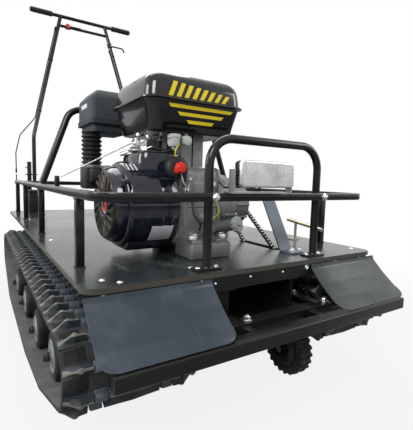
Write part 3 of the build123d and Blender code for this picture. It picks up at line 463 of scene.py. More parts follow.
def gloss_enamel(name, tint, sheen=(0.05, 0.05, 0.06)):
    """Gloss enamel over pressed steel: a clear coat, faint ripples, fine dusty specks, and smeared patches tinted
    towards the sheen colour as a painted sheen.
    """
    made = Finish(name, Coat_Weight=0.5, Coat_Roughness=0.04)
    ripple = made.noise(14.0, 2.0)
    specks = made.noise(520.0, 2.0).smooth(0.68, 0.8)
    smear_and_sheen = made.noise(7.0, 7.0, 0.7).smooth(0.5, 0.8)
    # The smeared patches, tinted towards the sheen colour, are a painted sheen; the specks are dusty.
    made.colour(made.blend((smear_and_sheen * 0.5 + specks * 0.3).clamp(), tint, sheen))
    made.rough(smear_and_sheen * 0.12 + specks * 0.1 + 0.14)
    made.bump(ripple, 0.05, 0.002)
    return made.material


def sticker(name, tint, roughness=0.35):
    """Printed film with faint creases and a slightly dirty face."""
    made = Finish(name)
    crease = made.noise(60.0, 6.0, 0.7)
    dirt = made.noise(24.0, 5.0).smooth(0.5, 0.85)
    made.colour(made.blend(dirt * 0.35, tint, tuple(c * 0.55 for c in tint)))
    made.rough(crease * 0.2 + roughness - 0.1)
    made.bump(crease, 0.08, 0.0004)
    return made.material


def clear_pane(name, tint):
    """A clear pane: seen through, with fine upright ribs that catch the light."""
    made = Finish(name, Coat_Weight=1.0, Coat_Roughness=0.03, Roughness=0.1)
    ribs = (made.axis("X") * 420.0).sin() * 0.5 + 0.5
    cross = (made.axis("Z") * 260.0).sin() * 0.5 + 0.5
    made.colour(tint)
    made.put(made.shader.inputs["Alpha"], ribs * 0.12 + cross * 0.05 + 0.1)
    made.bump(ribs, 0.3, 0.0008)
    return made.material


FINISHES = {
    "deck_film": (film_board, "deck", {}),
    "frame_black": (satin_paint, "frame", {}),
    "frame_gloss": (satin_paint, "frame", {"roughness": 0.24, "edge": 0.0, "coat": 0.2}),
    "plate_blue": (satin_paint, "plate", {"roughness": 0.3, "edge": 0.5, "scratched": 0.7}),
    "strip_blue": (satin_paint, "strip", {"roughness": 0.34, "scratched": 0.3}),
    "plate_grey": (satin_paint, "plate_grey", {"roughness": 0.32, "edge": 0.5, "scratched": 0.8}),
    "bumper_olive": (satin_paint, "bumper", {"roughness": 0.34, "dusty": 0.05, "edge": 0.6, "scratched": 0.08}),
    "belt_rubber": (rubber, "belt", {"pattern": 1.2}),
    "belt_inside": (rubber, "belt_inside", {"dusty": 0.4}),
    "lug_rubber": (rubber, "lug", {"dusty": 0.3, "roughness": 0.55}),
    # Near-black rubber painted as the shade inside the belt's windows.
    "pocket_rubber": (rubber, "pocket", {"dusty": 0.02}),
    # Pale lug crests: partly dusty wear, partly a painted highlight.
    "lug_crest": (rubber, "lug_crest", {"dusty": 0.6, "roughness": 0.8}),
    "clip_grey": (bare_metal, "clip", {"roughness": 0.55, "metallic": 0.5, "grain": (90.0, 90.0, 90.0)}),
    "tyre_rubber": (rubber, "tyre", {"dusty": 0.15}),
    "hub_steel": (bare_metal, "hub", {"roughness": 0.5, "metallic": 0.25}),
    "bare_steel": (bare_metal, "steel", {}),
    "bright_zinc": (bare_metal, "zinc", {"roughness": 0.24, "grain": (60.0, 60.0, 60.0)}),
    "chain_steel": (bare_metal, "chain", {"roughness": 0.3, "grain": (60.0, 60.0, 60.0)}),
    "cast_grey": (cast_metal, "cast", {}),
    "cast_dark": (cast_metal, "cast_dark", {}),
    "pale_plastic": (moulded, "pale", {"roughness": 0.5}),
    "tank_gloss": (gloss_enamel, "tank", {}),
    # The fan housing's blue-violet sheen is painted into its enamel patches.
    "shroud_gloss": (gloss_enamel, "shroud", {"sheen": (0.10, 0.11, 0.19)}),
    # A bronze metal tint painted as the gold sheen on the recoil cover's spokes.
    "cover_bronze": (bare_metal, "cover", {"roughness": 0.3, "metallic": 0.7}),
    "black_plastic": (moulded, "plastic", {}),
    "filter_plastic": (moulded, "filter", {"roughness": 0.55}),
    "grip_rubber": (rubber, "plastic", {"dusty": 0.04}),
    "red_plastic": (moulded, "red", {"roughness": 0.4}),
    "yellow_film": (sticker, "yellow", {}),
    # White film for the blank labels, also used as the painted highlight in the fan slots.
    "white_film": (sticker, "label", {}),
    "brass_rod": (bare_metal, "brass", {"roughness": 0.38}),
    "reflector": (bare_metal, "reflector", {"roughness": 0.25, "metallic": 0.25, "grain": (30.0, 30.0, 30.0)}),
    "lens_clear": (clear_pane, "lens", {}),
    "led_yellow": (moulded, "led", {"roughness": 0.3}),
}

COLOURS = (
    ("deck", "Deck film", (0.016, 0.020, 0.021)),
    ("frame", "Frame paint", (0.006, 0.007, 0.0075)),
    ("plate", "Front plates", (0.030, 0.043, 0.060)),
    ("strip", "Brace strip", (0.11, 0.135, 0.17)),
    ("plate_grey", "Left front plate", (0.040, 0.050, 0.049)),
    ("bumper", "Bumper", (0.006, 0.007, 0.0065)),
    ("belt", "Track belt", (0.010, 0.0125, 0.0145)),
    ("belt_inside", "Inside of the belt", (0.085, 0.093, 0.092)),
    ("lug", "Lugs", (0.026, 0.033, 0.039)),
    ("pocket", "Painted shade in the belt windows", (0.004, 0.004, 0.004)),
    ("lug_crest", "Lug crests, dust and painted highlight", (0.15, 0.15, 0.125)),
    ("clip", "Track clips", (0.12, 0.14, 0.16)),
    ("tyre", "Wheel rubber", (0.008, 0.009, 0.0095)),
    ("hub", "Wheel hubs", (0.24, 0.26, 0.26)),
    ("steel", "Bare steel", (0.42, 0.42, 0.43)),
    ("zinc", "Bolts", (0.68, 0.68, 0.67)),
    ("chain", "Chain", (0.07, 0.07, 0.072)),
    ("cast", "Cast engine parts", (0.205, 0.218, 0.21)),
    ("cast_dark", "Dark castings", (0.028, 0.029, 0.029)),
    ("pale", "Pale fittings", (0.46, 0.49, 0.47)),
    ("tank", "Fuel tank", (0.004, 0.004, 0.005)),
    ("shroud", "Fan housing", (0.006, 0.0075, 0.014)),
    ("cover", "Recoil cover", (0.050, 0.043, 0.032)),
    ("plastic", "Black plastic", (0.011, 0.012, 0.013)),
    ("filter", "Air filter", (0.024, 0.031, 0.037)),
    ("red", "Red parts", (0.72, 0.035, 0.018)),
    ("yellow", "Tank stripes", (0.80, 0.62, 0.03)),
    ("label", "Blank labels and painted slot highlights", (0.66, 0.67, 0.70)),
    ("brass", "Lever rod", (0.46, 0.42, 0.33)),
    ("reflector", "Lamp reflector", (0.80, 0.83, 0.83)),
    ("lens", "Lamp pane", (0.95, 0.97, 0.98)),
    ("led", "Light cells", (0.75, 0.74, 0.45)),
)

made_finishes = {}


def finish(label):
    """The material of that name, made on its first use from the user's colour."""
    if label not in made_finishes:
        maker, colour, values = FINISHES[label]
        tint = tuple(getattr(bpy.context.scene.snowtug_colours, colour))
        made_finishes[label] = maker(label, tint, **values)
    return made_finishes[label]


NODE_FINISH = {
    "brace_strip": "strip_blue",
    "deck_plate": "deck_film",
    "front_flange": "bumper_olive",
    "bumper_frame": "bumper_olive",
    "crankcase": "cast_grey",
    "cylinder": "cast_grey",
    "gear_case": "cast_grey",
    "side_lever": "brass_rod",
    "lamp_bracket": "bare_steel",
    "tank_legs": "cast_grey",
    "tow_hitch": "frame_gloss",
    "silencer": "cast_dark",
}


# Fasteners


def hex_bolt(across, head, washer=0.0):
    """A six-sided head with a turned-down crown on a washer, standing on z = 0."""
    form = Form()
    base = 0.0
    if washer:
        base = across * 0.14
        profile = [(washer - 0.6, 0), (washer, 0.4), (washer, base - 0.4), (washer - 0.6, base)]
        form.skin(turned(profile, 0 * X, Z, 24))
    reach = across / math.sqrt(3)
    profile = [(reach, base), (reach, base + head * 0.78), (reach * 0.86, base + head)]
    form.skin(turned(profile, 0 * X, Z, 6))
    profile = [(reach * 0.5, base + head), (reach * 0.5, base + head * 1.25), (reach * 0.4, base + head * 1.35)]
    return form.skin(turned(profile, 0 * X, Z, 16))


def dome_bolt(radius, rise):
    """A low round head: the rise times the square root of one less the squared share of the radius."""
    share = np.sin(np.linspace(1, 0.04, 6) * TURN / 4)
    profile = np.stack([radius * share, rise * np.sqrt(1 - share**2)], 1)
    profile = np.concatenate([[(radius, -0.5)], profile])
    return Form().skin(turned(profile, 0 * X, Z, 24))


def ring_bolt(radius):
    """A pan head with a bright rim round a sunk socket."""
    socket = radius * 0.5
    profile = [(radius, -0.5), (radius, 1.2), (radius * 0.86, 2.6), (radius * 0.62, 2.9), (socket, 2.2), (socket, 0.4)]
    return Form().skin(turned(profile, 0 * X, Z, 24))


def weld_bead(path, size, side):
    """A weld: a round outline carried along its line, swelling and shrinking as a sine wave."""
    path = np.asarray(path, float)
    steps = np.linspace(0, 1, 24)[:, None]
    line = path[0] + (path[1] - path[0]) * steps
    grid = carried(circle(size, 8), line, side)
    swell = 1 + 0.22 * np.sin(steps * TURN * 6)
    return line[:, None] + (grid - line[:, None]) * swell[:, None]


# Tracks

BELT_CIRCLES = np.array(
    [(-827, 227, 73), (-571, 138, 73), (-258, 95, 73), (380, 95, 73), (625, 212, 85)], float
)
CHAIN_CIRCLES = np.array([(-827, 227, 64), (-480, 520, 40)], float)


def loop_round(circles):
    """Length, y, z and outward angle along the belt line round circles: arcs joined by their outer tangents."""
    centres, radii = circles[:, :2], circles[:, 2]
    ahead = np.roll(centres, -1, 0) - centres
    lean = np.arccos((radii - np.roll(radii, -1)) / np.linalg.norm(ahead, axis=1))
    leave = np.unwrap(np.arctan2(ahead[:, 1], ahead[:, 0]) - lean)
    arrive = np.roll(leave, 1)
    arrive[0] -= TURN
    angle = arrive[:, None] + np.linspace(0, 1, 61) * (leave - arrive)[:, None]
    y = centres[:, :1] + radii[:, None] * np.cos(angle)
    z = centres[:, 1:] + radii[:, None] * np.sin(angle)
    table = np.stack([y.ravel(), z.ravel(), angle.ravel()])
    table = np.concatenate([table, table[:, :1] + np.array([[0], [0], [TURN]])], 1)
    length = np.concatenate([[0], np.cumsum(np.hypot(*np.diff(table[:2], axis=1)))])
    return length, table


def on_loop(circles, distance, depth=0.0):
    """Points of the loop at distances along it, the depth inside its outer face, with the outward angle."""
    length, table = loop_round(circles)
    y, z, angle = (np.interp(distance, length, row) for row in table)
    return y - depth * np.cos(angle), z - depth * np.sin(angle), angle


def carried_round(points, circles, spots):
    """Points (across, along, outward) set down at spots along the loop, turned with its outward angle."""
    y, z, angle = (row[:, None] for row in on_loop(circles, spots))
    across, along, out = points[None, :, 0], points[None, :, 1], points[None, :, 2]
    y = y + out * np.cos(angle) - along * np.sin(angle)
    z = z + out * np.sin(angle) + along * np.cos(angle)
    return np.stack([np.broadcast_to(across, y.shape), y, z], -1)


def round_loop(form, part, circles, spots, middle=0.0):
    """Sets a part down at spots round a loop."""
    points = np.concatenate(part.points)
    placed = carried_round(points + np.array([middle, 0, 0]), circles, spots)
    start = form.count + np.arange(len(spots))[:, None, None] * len(points)
    for faces, finish_index in zip(part.faces, part.finish):
        form.faces.append((faces[None] + start).reshape(-1, faces.shape[1]))
        form.finish.append(np.tile(finish_index, len(spots)))
    form.points.append(placed.reshape(-1, 3))
    form.count += placed.shape[0] * placed.shape[1]


def lug_part(height, half_width):
    """One lug: a thin bell-shaped fin whose height and foot follow tables across the belt, with a knob near each end."""
    rows = np.array(
        # place across, share of height, width of the foot, width of the crest
        [
            (149, 0.04, 1.15, 1.6), (144, 0.20, 1.15, 1.5), (138, 0.38, 1.1, 1.2), (131, 0.66, 1.0, 1.0),
            (125, 0.90, 0.9, 1.3), (121, 1.00, 0.85, 2.4), (117, 0.98, 0.85, 2.4), (112, 0.86, 0.8, 1.2),
            (96, 0.82, 0.8, 1.0), (93, 0.10, 0.8, 1.0), (65, 0.10, 0.8, 1.0), (62, 0.80, 0.8, 1.0),
            (30, 0.84, 0.8, 1.1), (0, 0.90, 0.8, 1.3),
        ]
    )  # fmt: skip
    rows = np.concatenate([rows, rows[-2::-1] * np.array([-1, 1, 1, 1])])
    bell = np.array(
        [(-1, -0.18), (-1, 0.03), (-0.6, 0.12), (-0.3, 0.5), (-0.2, 0.92), (0, 1.0),
         (0.2, 0.92), (0.3, 0.5), (0.6, 0.12), (1, 0.03), (1, -0.18)]
    )  # fmt: skip
    foot = np.where(np.abs(bell[:, 0]) > 0.5, 1.0, 0.0)
    width = rows[:, 2:3] * foot + rows[:, 3:4] * (1 - foot)
    grid = np.zeros((len(rows), len(bell), 3))
    grid[..., 0] = rows[:, :1]
    grid[..., 1] = bell[:, 0] * width * half_width
    grid[..., 2] = np.where(bell[:, 1] > 0.04, bell[:, 1] * rows[:, 1:2], bell[:, 1]) * height
    form = Form().skin(grid)
    # The crest of each lug takes the pale crest finish: partly dusty wear, partly a painted highlight along the ridge.
    crest = np.full((len(rows) - 1, len(bell)), 4)
    crest[:, 4:6] = 2
    crest[:5, 3:7] = 2
    crest[:2, 3:7] = 2
    crest[-2:, 3:7] = 2
    form.finish[0] = crest.ravel()
    return form


def track(side, settings):
    """One track: a belt with near-black patches painted as the shade in its windows, its lugs, clips, rib pads and
    inner teeth, all carried round the belt line.
    """
    middle = side * 354.0
    length = loop_round(BELT_CIRCLES)[0][-1]
    pitch = length / settings.lug_count
    spots = (np.arange(settings.lug_count)[:, None] + np.array([0.0, 0.24, 0.5, 0.76])).ravel() * pitch
    columns = np.array([-150, -147, -120, -102, -66, 0, 66, 102, 120, 147, 150], float)
    across = np.concatenate([columns, columns[::-1]])
    depth = np.repeat([0.0, settings.belt_thickness / MM], len(columns))
    y, z, angle = (row[:, None] for row in on_loop(BELT_CIRCLES, spots))
    belt = np.stack([0 * y + middle + across, y - depth * np.cos(angle), z - depth * np.sin(angle)], -1)
    index = np.zeros((len(spots), len(across)), int)
    index[:, len(columns) - 1 : -1] = 1
    # Where the belt has windows, those cells are painted near-black as the shade inside them, with no hole cut.
    index[0::4, [2, 7]] = index[3::4, [2, 7]] = 5
    form = Form().skin(belt, finish=index.ravel(), loop=True)
    centres = (np.arange(settings.lug_count) + 0.5) * pitch
    round_loop(form, lug_part(settings.lug_height / MM, 11.0), BELT_CIRCLES, centres, middle)
    clip = Form()
    for across in (-79, 79):
        clip.skin(block((across - 12, -9, -1), (across + 12, 9, 15), 2.5, 2.0), finish=3)
        clip.skin(block((across - 13.5, -12, -1), (across + 13.5, 12, 3), 2.5, 1.0), finish=3)
    round_loop(form, clip, BELT_CIRCLES, centres, middle)
    ribs = Form()
    for across in (-132, 132):
        for along in np.linspace(-10, 10, 7):
            ribs.skin(block((across - 11, along - 0.8, -0.5), (across + 11, along + 0.8, 1.1), 0.5, 0.4, 2, 2))
    round_loop(form, ribs, BELT_CIRCLES, centres + pitch / 2, middle)
    tooth = Form()
    for across in (-24, 24):
        tooth.skin(block((across - 12, -8, -19), (across + 12, 8, -7), 4, 4, 2), finish=1)
    round_loop(form, tooth, BELT_CIRCLES, centres, middle)
    return form


# Wheels, drums and chain


def outer_wheel():
    """A bolted wheel, from its inner face at z = 0: ribbed tyre, pressed hub disc, washer, nut and bolt end."""
    tyre = [
        (40, 1), (52, 0), (60, 0.8), (63.6, 3), (64.6, 6), (64.6, 14.6), (62.8, 15.4), (62.8, 17.6), (64.6, 18.4),
        (64.6, 29), (63.4, 32.6), (60.4, 34.8), (57, 35.4), (56, 34.2), (53, 34.2), (52, 35.6), (47, 36), (45, 34.6),
    ]  # fmt: skip
    disc = [(45, 30), (44, 35.6), (41.5, 37.4), (38, 37), (35, 35.4), (30, 35.6), (28, 38), (22, 38.8), (20, 36)]
    form = Form().skin(turned(tyre, 0 * X, Z, 56))
    form.skin(turned(disc, 0 * X, Z, 48), finish=1)
    form.skin(turned([(19, 36), (19, 40.4), (18, 41), (12, 41)], 0 * X, Z, 32), finish=2)
    form.skin(turned([(13.8, 40), (13.8, 49), (12, 51)], 0 * X, Z, 6), finish=3)
    form.skin(turned([(9, 48), (9, 56.4), (7.6, 58)], 0 * X, Z, 20), finish=3)
    return form


def inner_wheel():
    """A plain wheel with the same tyre and a hub boss on both faces."""
    tyre = [(40, 0.6), (58, 0), (63.4, 2.6), (64.6, 6), (64.6, 30), (63.4, 33.4), (58, 36), (40, 35.4)]
    form = Form().skin(turned(tyre, 0 * X, Z, 48))
    boss = [(39, -0.2), (38, 1.6), (20, 2), (20, 34), (38, 34.4), (39, 36.2)]
    return form.skin(turned(boss, 0 * X, Z, 40), finish=1)


def wheels():
    form = Form()
    rows = [(-571, 138), (-258, 95), (57, 95), (380, 95)]
    for side in (-1, 1):
        outer = [(side * 433.0, y, z) for y, z in rows]
        inner = [(side * 246.0, y, z) for y, z in rows]
        form.copies(outer_wheel(), outer, side * X)
        form.copies(inner_wheel(), inner, side * X)
    for y, z in rows:
        form.skin(turned([(9.9, -432), (9.9, 432)], (0, y, z), X, 20), finish=2)
    return form


def drum(radius, width):
    """A toothed drive drum: a notched outline along the axle with a chamfer at both ends."""
    rows = [toothed(radius - inset, 6, 14, 8, 0.35) for inset in (2, 0, 0, 2)]
    return stacked(rows, [-width / 2, 2 - width / 2, width / 2 - 2, width / 2], 0 * X, Z)


def axle_set(y, z, radius):
    """A through axle with two toothed drums on each side and a collar at each end."""
    form = Form().skin(turned([(13, -430), (14.8, -427), (14.8, 427), (13, 430)], (0, y, z), X, 28))
    part = Form().skin(drum(radius, 26), finish=1)
    part.skin(turned([(30, -13.4), (28, -16), (20, -17), (20, 17), (28, 16), (30, 13.4)], 0 * X, Z, 28), finish=1)
    spots = [(side * x, y, z) for side in (-1, 1) for x in (276, 432)]
    spots[1] = (-415, y, z)
    spots[3] = (415, y, z)
    return form.copies(part, spots, X)


def sprocket(radius, teeth, width, holes, hub):
    """A chain wheel: pointed teeth round a thin disc, a hub, and round lightening holes drawn as sunk rings."""
    outline = toothed(radius, 6.5, teeth, 8, 0.25)
    form = Form().skin(stacked([outline * 0.985, outline, outline, outline * 0.985], [-width / 2, -width / 4, width / 4, width / 2], 0 * X, Z))
    form.skin(turned([(hub, -width), (hub, width)], 0 * X, Z, 24))
    turns = np.arange(holes) / holes * TURN
    spots = np.stack([np.cos(turns), np.sin(turns), 0 * turns], 1) * (radius + hub) / 2
    ring = Form().skin(turned([(7, width / 2), (6.4, width / 2 + 1), (5.6, width / 2), (5.6, width / 2 - 1.5)], 0 * X, Z, 14))
    return form.copies(ring, spots)


def chain():
    """A roller chain: side plates shaped as two joined discs, in turns inside and outside, with a roller at each pin."""
    length = loop_round(CHAIN_CIRCLES)[0][-1]
    count = 2 * round(length / 12.7 / 2)
    pitch = length / count
    turn = np.arange(16) / 16 * TURN
    reach = np.stack([np.cos(turn) * 5.2, np.sin(turn) * 5.2 * (0.72 + 0.28 * np.abs(np.cos(turn)))], 1)
    reach[:, 0] += np.sign(reach[:, 0]) * pitch / 2
    form = Form()
    for parity, offset in ((0, 4.4), (1, 5.9)):
        link = Form()
        for side in (-1, 1):
            plate = np.zeros((2, 16, 3))
            plate[..., 1], plate[..., 2] = reach[:, 0], reach[:, 1]
            plate[0, :, 0], plate[1, :, 0] = side * (offset - 0.8), side * (offset + 0.6)
            link.skin(plate)
        spots = (np.arange(parity, count, 2) + 0.5) * pitch
        round_loop(form, link, CHAIN_CIRCLES, spots, 184.0)
    pin = Form().skin(turned([(2.0, -6.0), (2.0, -3.9), (4.0, -3.8), (4.0, 3.8), (2.0, 3.9), (2.0, 6.0)], 0 * X, X, 10), finish=1)
    round_loop(form, pin, CHAIN_CIRCLES, np.arange(count) * pitch, 184.0)
    return form


def guide_wheel():
    """The black guide wheel: a toothed tread with a groove, dished sides and a hub bolt on its stub axle."""
    rows = [toothed(r, 7, 22, 8, 0.4) for r in (71, 76.5, 77, 74, 74, 77, 76.5, 71)]
    form = Form().skin(stacked(rows, [-23, -20, -6, -4, 4, 6, 20, 23], (143, -828, 130), X))
    for side in (-1, 1):
        dish = [(60, 22.5), (57, 23.6), (50, 23.4), (46, 21), (30, 20), (26, 23.5), (13, 23.8)]
        form.skin(turned(dish, (143, -828, 130), side * X, 40), finish=1)
    form.skin(turned([(9.9, -37), (9.9, 30)], (143, -828, 130), X, 20), finish=2)
    return form.copies(hex_bolt(20, 7), [(168, -828, 130)], X)


# Frame, railing and hoops


def tube(form, corners, radius, bend, side, finish_index=0, count=20):
    """A round tube along a path with bends, closed at both ends."""
    return form.skin(carried(circle(radius, count), bent(corners, bend, 10), side), finish=finish_index)


def railing():
    """The square rail with rounded corners, its cross bar and its posts, with a weld bead round each foot and head."""
    form = Form()
    line = [(-423, 836, 576), (-423, -858, 576), (423, -858, 576), (423, 836, 576)]
    form.skin(carried(rounded(20, 20, 2.6), bent(line, 62, 10), Z))
    form.skin(block((-413.4, 550, 566), (413.4, 570, 586), 2.6, 0.5, 0))
    for side in (-1, 1):
        for y in (-691, -104, 396, 782):
            x = side * 423
            form.skin(block((x - 10, y - 10, 400), (x + 10, y + 10, 566), 2.6, 0.3, 2))
            for z in (401, 565):
                for dx in (-10, 10):
                    form.skin(weld_bead([(x + dx, y - 10, z), (x + dx, y + 10, z)], 2.1, Z))
                for dy in (-10, 10):
                    form.skin(weld_bead([(x - 10, y + dy, z), (x + 10, y + dy, z)], 2.1, Z))
    return form


def front_hoop():
    """The front hoop: a bent round tube on two foot plates, each with a weld bead and two bolts."""
    form = Form()
    tube(form, [(-158, -837, 404), (-158, -837, 717), (217, -837, 717), (217, -837, 404)], 11, 66, Y, 0, 28)
    for x in (-158, 217):
        form.skin(block((x - 37, -854, 400), (x + 37, -820, 405), 5, 1.2))
        turn = np.linspace(0, TURN, 30)
        ring = np.stack([x + 12 * np.cos(turn), -837 + 12 * np.sin(turn), 406 + 0 * turn], 1)
        form.skin(carried(circle(2.2, 8), ring, Z), caps=True)
        form.copies(dome_bolt(6.5, 3.6), [(x - 26, -837, 405), (x + 26, -837, 405)], finish=1)
    return form


def flat_bar(line, width_low, width_high, thick, axis_side):
    """A strip of plate: a thin rectangle carried along a line of bends."""
    middle = (width_low + width_high) / 2
    path = bent(line, 8, 4)
    return carried(rounded(width_high - width_low, thick, 0.8, 2), path + middle * axis_side, axis_side)


def front_plate(left, right):
    """A bent front plate: its profile along smooth bends, with both lower corners rounded off by a circle."""
    line = np.array([(-876.5, 385.2), (-879.2, 374), (-915.8, 338), (-955, 306), (-994.5, 285.2)])
    path = bent(np.concatenate([np.zeros((5, 1)), line], 1), 12, 6)
    ahead = unit(np.gradient(path, axis=0))
    out = np.stack([ahead[:, 0], ahead[:, 2], -ahead[:, 1]], 1)
    run = np.concatenate([[0], np.cumsum(np.linalg.norm(np.diff(path, axis=0), axis=1))])
    share = np.concatenate([np.linspace(0, run[-1] - 34, 30), run[-1] - 34 * (1 - np.sin(np.linspace(0.1, 1, 8) * TURN / 4))])
    spot = np.stack([np.interp(share, run, path[:, k]) for k in range(3)], 1)
    away = np.stack([np.interp(share, run, out[:, k]) for k in range(3)], 1)
    over = np.clip(share - (run[-1] - 34), 0, 34)
    inset = 34 - np.sqrt(34**2 - over**2 * 0.998)
    across = np.array([0, 0.004, 0.3, 0.7, 0.996, 1])
    x = (left + inset)[:, None] + (right - left - 2 * inset)[:, None] * across
    top = spot[:, None] + away[:, None] * np.array([1.0, 1.5, 1.5, 1.5, 1.5, 1.0])[None, :, None]
    top[..., 0] = x
    low = spot[:, None] - away[:, None] * np.array([1.0, 1.5, 1.5, 1.5, 1.5, 1.0])[None, :, None]
    low[..., 0] = x
    return np.concatenate([top, low[:, ::-1]], 1)


def front_bars():
    """The bumper tube with its end caps."""
    form = Form()
    form.skin(block((-440, -1000, 250), (440, -964, 282), 4, 1.5, 0))
    for side in (-1, 1):
        form.skin(block((side * 436 - 3.9, -996, 254), (side * 436 + 3.9, -968, 278), 4, 1.5, 0))
    return form


def lamp_head():
    """The lamp's black case: a rounded rectangle drawn in at the back by steps, with a rim."""
    form = Form()
    centre = np.array([-38.0, 0, 632.0])
    rows = [(-902.6, 1.5), (-901.5, 0), (-896, 0), (-895, 1.5), (-885, 2), (-880, 7), (-876, 14), (-875, 22)]
    outlines = [rounded(62.6 - 2 * i, 164.8 - 2 * i, max(9 - i * 0.3, 3), 4) for _, i in rows]
    form.skin(stacked(outlines, [y + 890 for y, _ in rows], centre + Y * -890, Y))
    for side in (-1, 1):
        form.skin(turned([(6, 78), (6.5, 79), (6.5, 86.5), (4, 87)], (-38, -889, 632), side * X, 20))
    return form


def lamp_glass():
    """The lamp's front: a bright ribbed reflector bowl, two light cells, a chrome rim and a clear pane."""
    form = Form()
    centre = np.array([-38.0, -903.0, 632.0])
    rim = [(0, 0), (5, 0), (10.6, 1.2), (11.8, 2.6), (11.8, 5.5)]
    rows = [rounded(63 - 2 * i, 165 - 2 * i, 9 - i * 0.3, 5) for _, i in rim]
    form.skin(stacked(rows, [-d for d, _ in rim], centre, Y), finish=1)
    bowl = [(10.6, 5.2), (8, 7), (5.4, 9.5), (3.6, 14), (2.6, 22)]
    rows = [rounded(63 - 2 * i, 165 - 2 * i, max(9 - i * 0.3, 4), 5) for _, i in bowl]
    form.skin(stacked(rows, [-d for d, _ in bowl], centre, Y), finish=0)
    shine = Form()
    turn = np.linspace(0, 1, 8)[:, None]
    angle = np.arange(48) / 48 * TURN
    radius = 25 * turn * (1 + 0.02 * np.cos(angle * 12))
    cone = np.stack([radius * np.cos(angle), radius * np.sin(angle), 1.6 - 0 * radius - 5.0 * (1 - turn**2)], -1)
    shine.skin(cone[1:], finish=0)
    shine.skin(turned([(5.0, -3), (5.0, 2.6), (3.6, 4.4), (1, 5)], 0 * X, Z, 20), finish=3)
    form.copies(shine, [(-38 - 42, -907.5, 632), (-38 + 42, -907.5, 632), (-38, -907.5, 632)], -Y)
    flutes = Form()
    for along in np.linspace(-74, 74, 25):
        flutes.skin(block((along - 1.3, -26, 0), (along + 1.3, 26, 1.3), 1.0, 0.5, 2, 2), finish=0)
    points = np.concatenate(flutes.points)
    flutes.points = [np.stack([points[:, 0] - 38, -907.6 - points[:, 2], points[:, 1] + 632], 1)]
    start = form.count
    form.points.append(flutes.points[0])
    form.count += len(flutes.points[0])
    form.faces += [faces + start for faces in flutes.faces]
    form.finish += flutes.finish
    pane = [(10.4, 2.2), (11.4, 3.2), (11.9, 5)]
    rows = [rounded(63 - 2 * i, 165 - 2 * i, 8, 5) for _, i in pane]
    form.skin(stacked(rows, [-d for d, _ in pane], centre, Y), finish=2)
    return form


# Engine


def crankcase():
    """The grey cast crankcase: a rounded body, ribs, round bosses with bolts and two feet bolted to the deck."""
    form = Form()
    form.skin(block((-155, -668, 428), (-14, -497, 650), 26, 8, 0))
    form.skin(block((-130, -669.5, 470), (-38, -496, 610), 14, 5, 1))
    for x in (-146, -112, -84, -56, -22):
        form.skin(block((x - 3, -670, 440), (x + 3, -495, 646), 24, 2, 0, 2))
    for low, high in (((-149, -746, 400), (-17, -650, 443)), ((-149, -541, 400), (-17, -489, 443))):
        form.skin(block(low, high, 9, 6))
        form.skin(block((low[0] + 10, low[1] + 8, 436), (low[0] + 44, high[1] - 4, 452), 8, 5))
        form.skin(block((high[0] - 44, low[1] + 8, 436), (high[0] - 10, high[1] - 4, 452), 8, 5))
    form.skin(block((-19, -673, 426), (-9, -492, 653), 30, 2, 0))
    form.skin(block((-112, -674, 436), (-20, -640, 444), 3, 2, 0))
    form.skin(block((-120, -673, 536), (-20, -640, 542), 3, 2, 0))
    form.skin(block((-134, -678, 556), (-104, -650, 628), 9, 5))
    form.skin(block((-60, -676, 556), (-26, -650, 640), 9, 5))
    form.copies(hex_bolt(10, 5, 7), [(-119, -678, 612), (-119, -678, 570), (-43, -676, 570), (-43, -676, 626)], -Y, 1)
    for x, z, radius in ((-66, 506, 17), (-128, 586, 12), (-40, 600, 12), (-100, 452, 11), (-34, 470, 10)):
        boss = [(radius + 5, 0), (radius + 1, 5), (radius, 12), (radius - 2, 14)]
        form.skin(turned(boss, (x, -666, z), -Y, 28))
    form.copies(hex_bolt(13, 6, 9), [(-66, -680, 506), (-128, -680, 586), (-40, -680, 600), (-100, -680, 452)], -Y, 1)
    feet = [(-132, -722, 452), (-34, -722, 452), (-132, -514, 450), (-34, -514, 450)]
    form.copies(hex_bolt(17, 8, 12), feet, Z, 1)
    neck = bent([(-24, -640, 470), (-4, -700, 482), (8, -730, 490)], 30, 5)
    form.skin(carried(circle(17, 24), neck, X))
    return form


def oil_cap():
    """The pale filler cap at the end of its neck: a finger-ribbed disc."""
    rows = [toothed(r, 2.2, 10, 6) for r in (22, 23.5, 23.5, 22)]
    form = Form().skin(stacked(rows, [0, 2, 13, 15], (10, -722, 487), (0.35, -0.9, 0.22)))
    return form.skin(stacked([rounded(8, 24, 3), rounded(7, 22, 3)], [13, 21], (10, -722, 487), (0.35, -0.9, 0.22)))


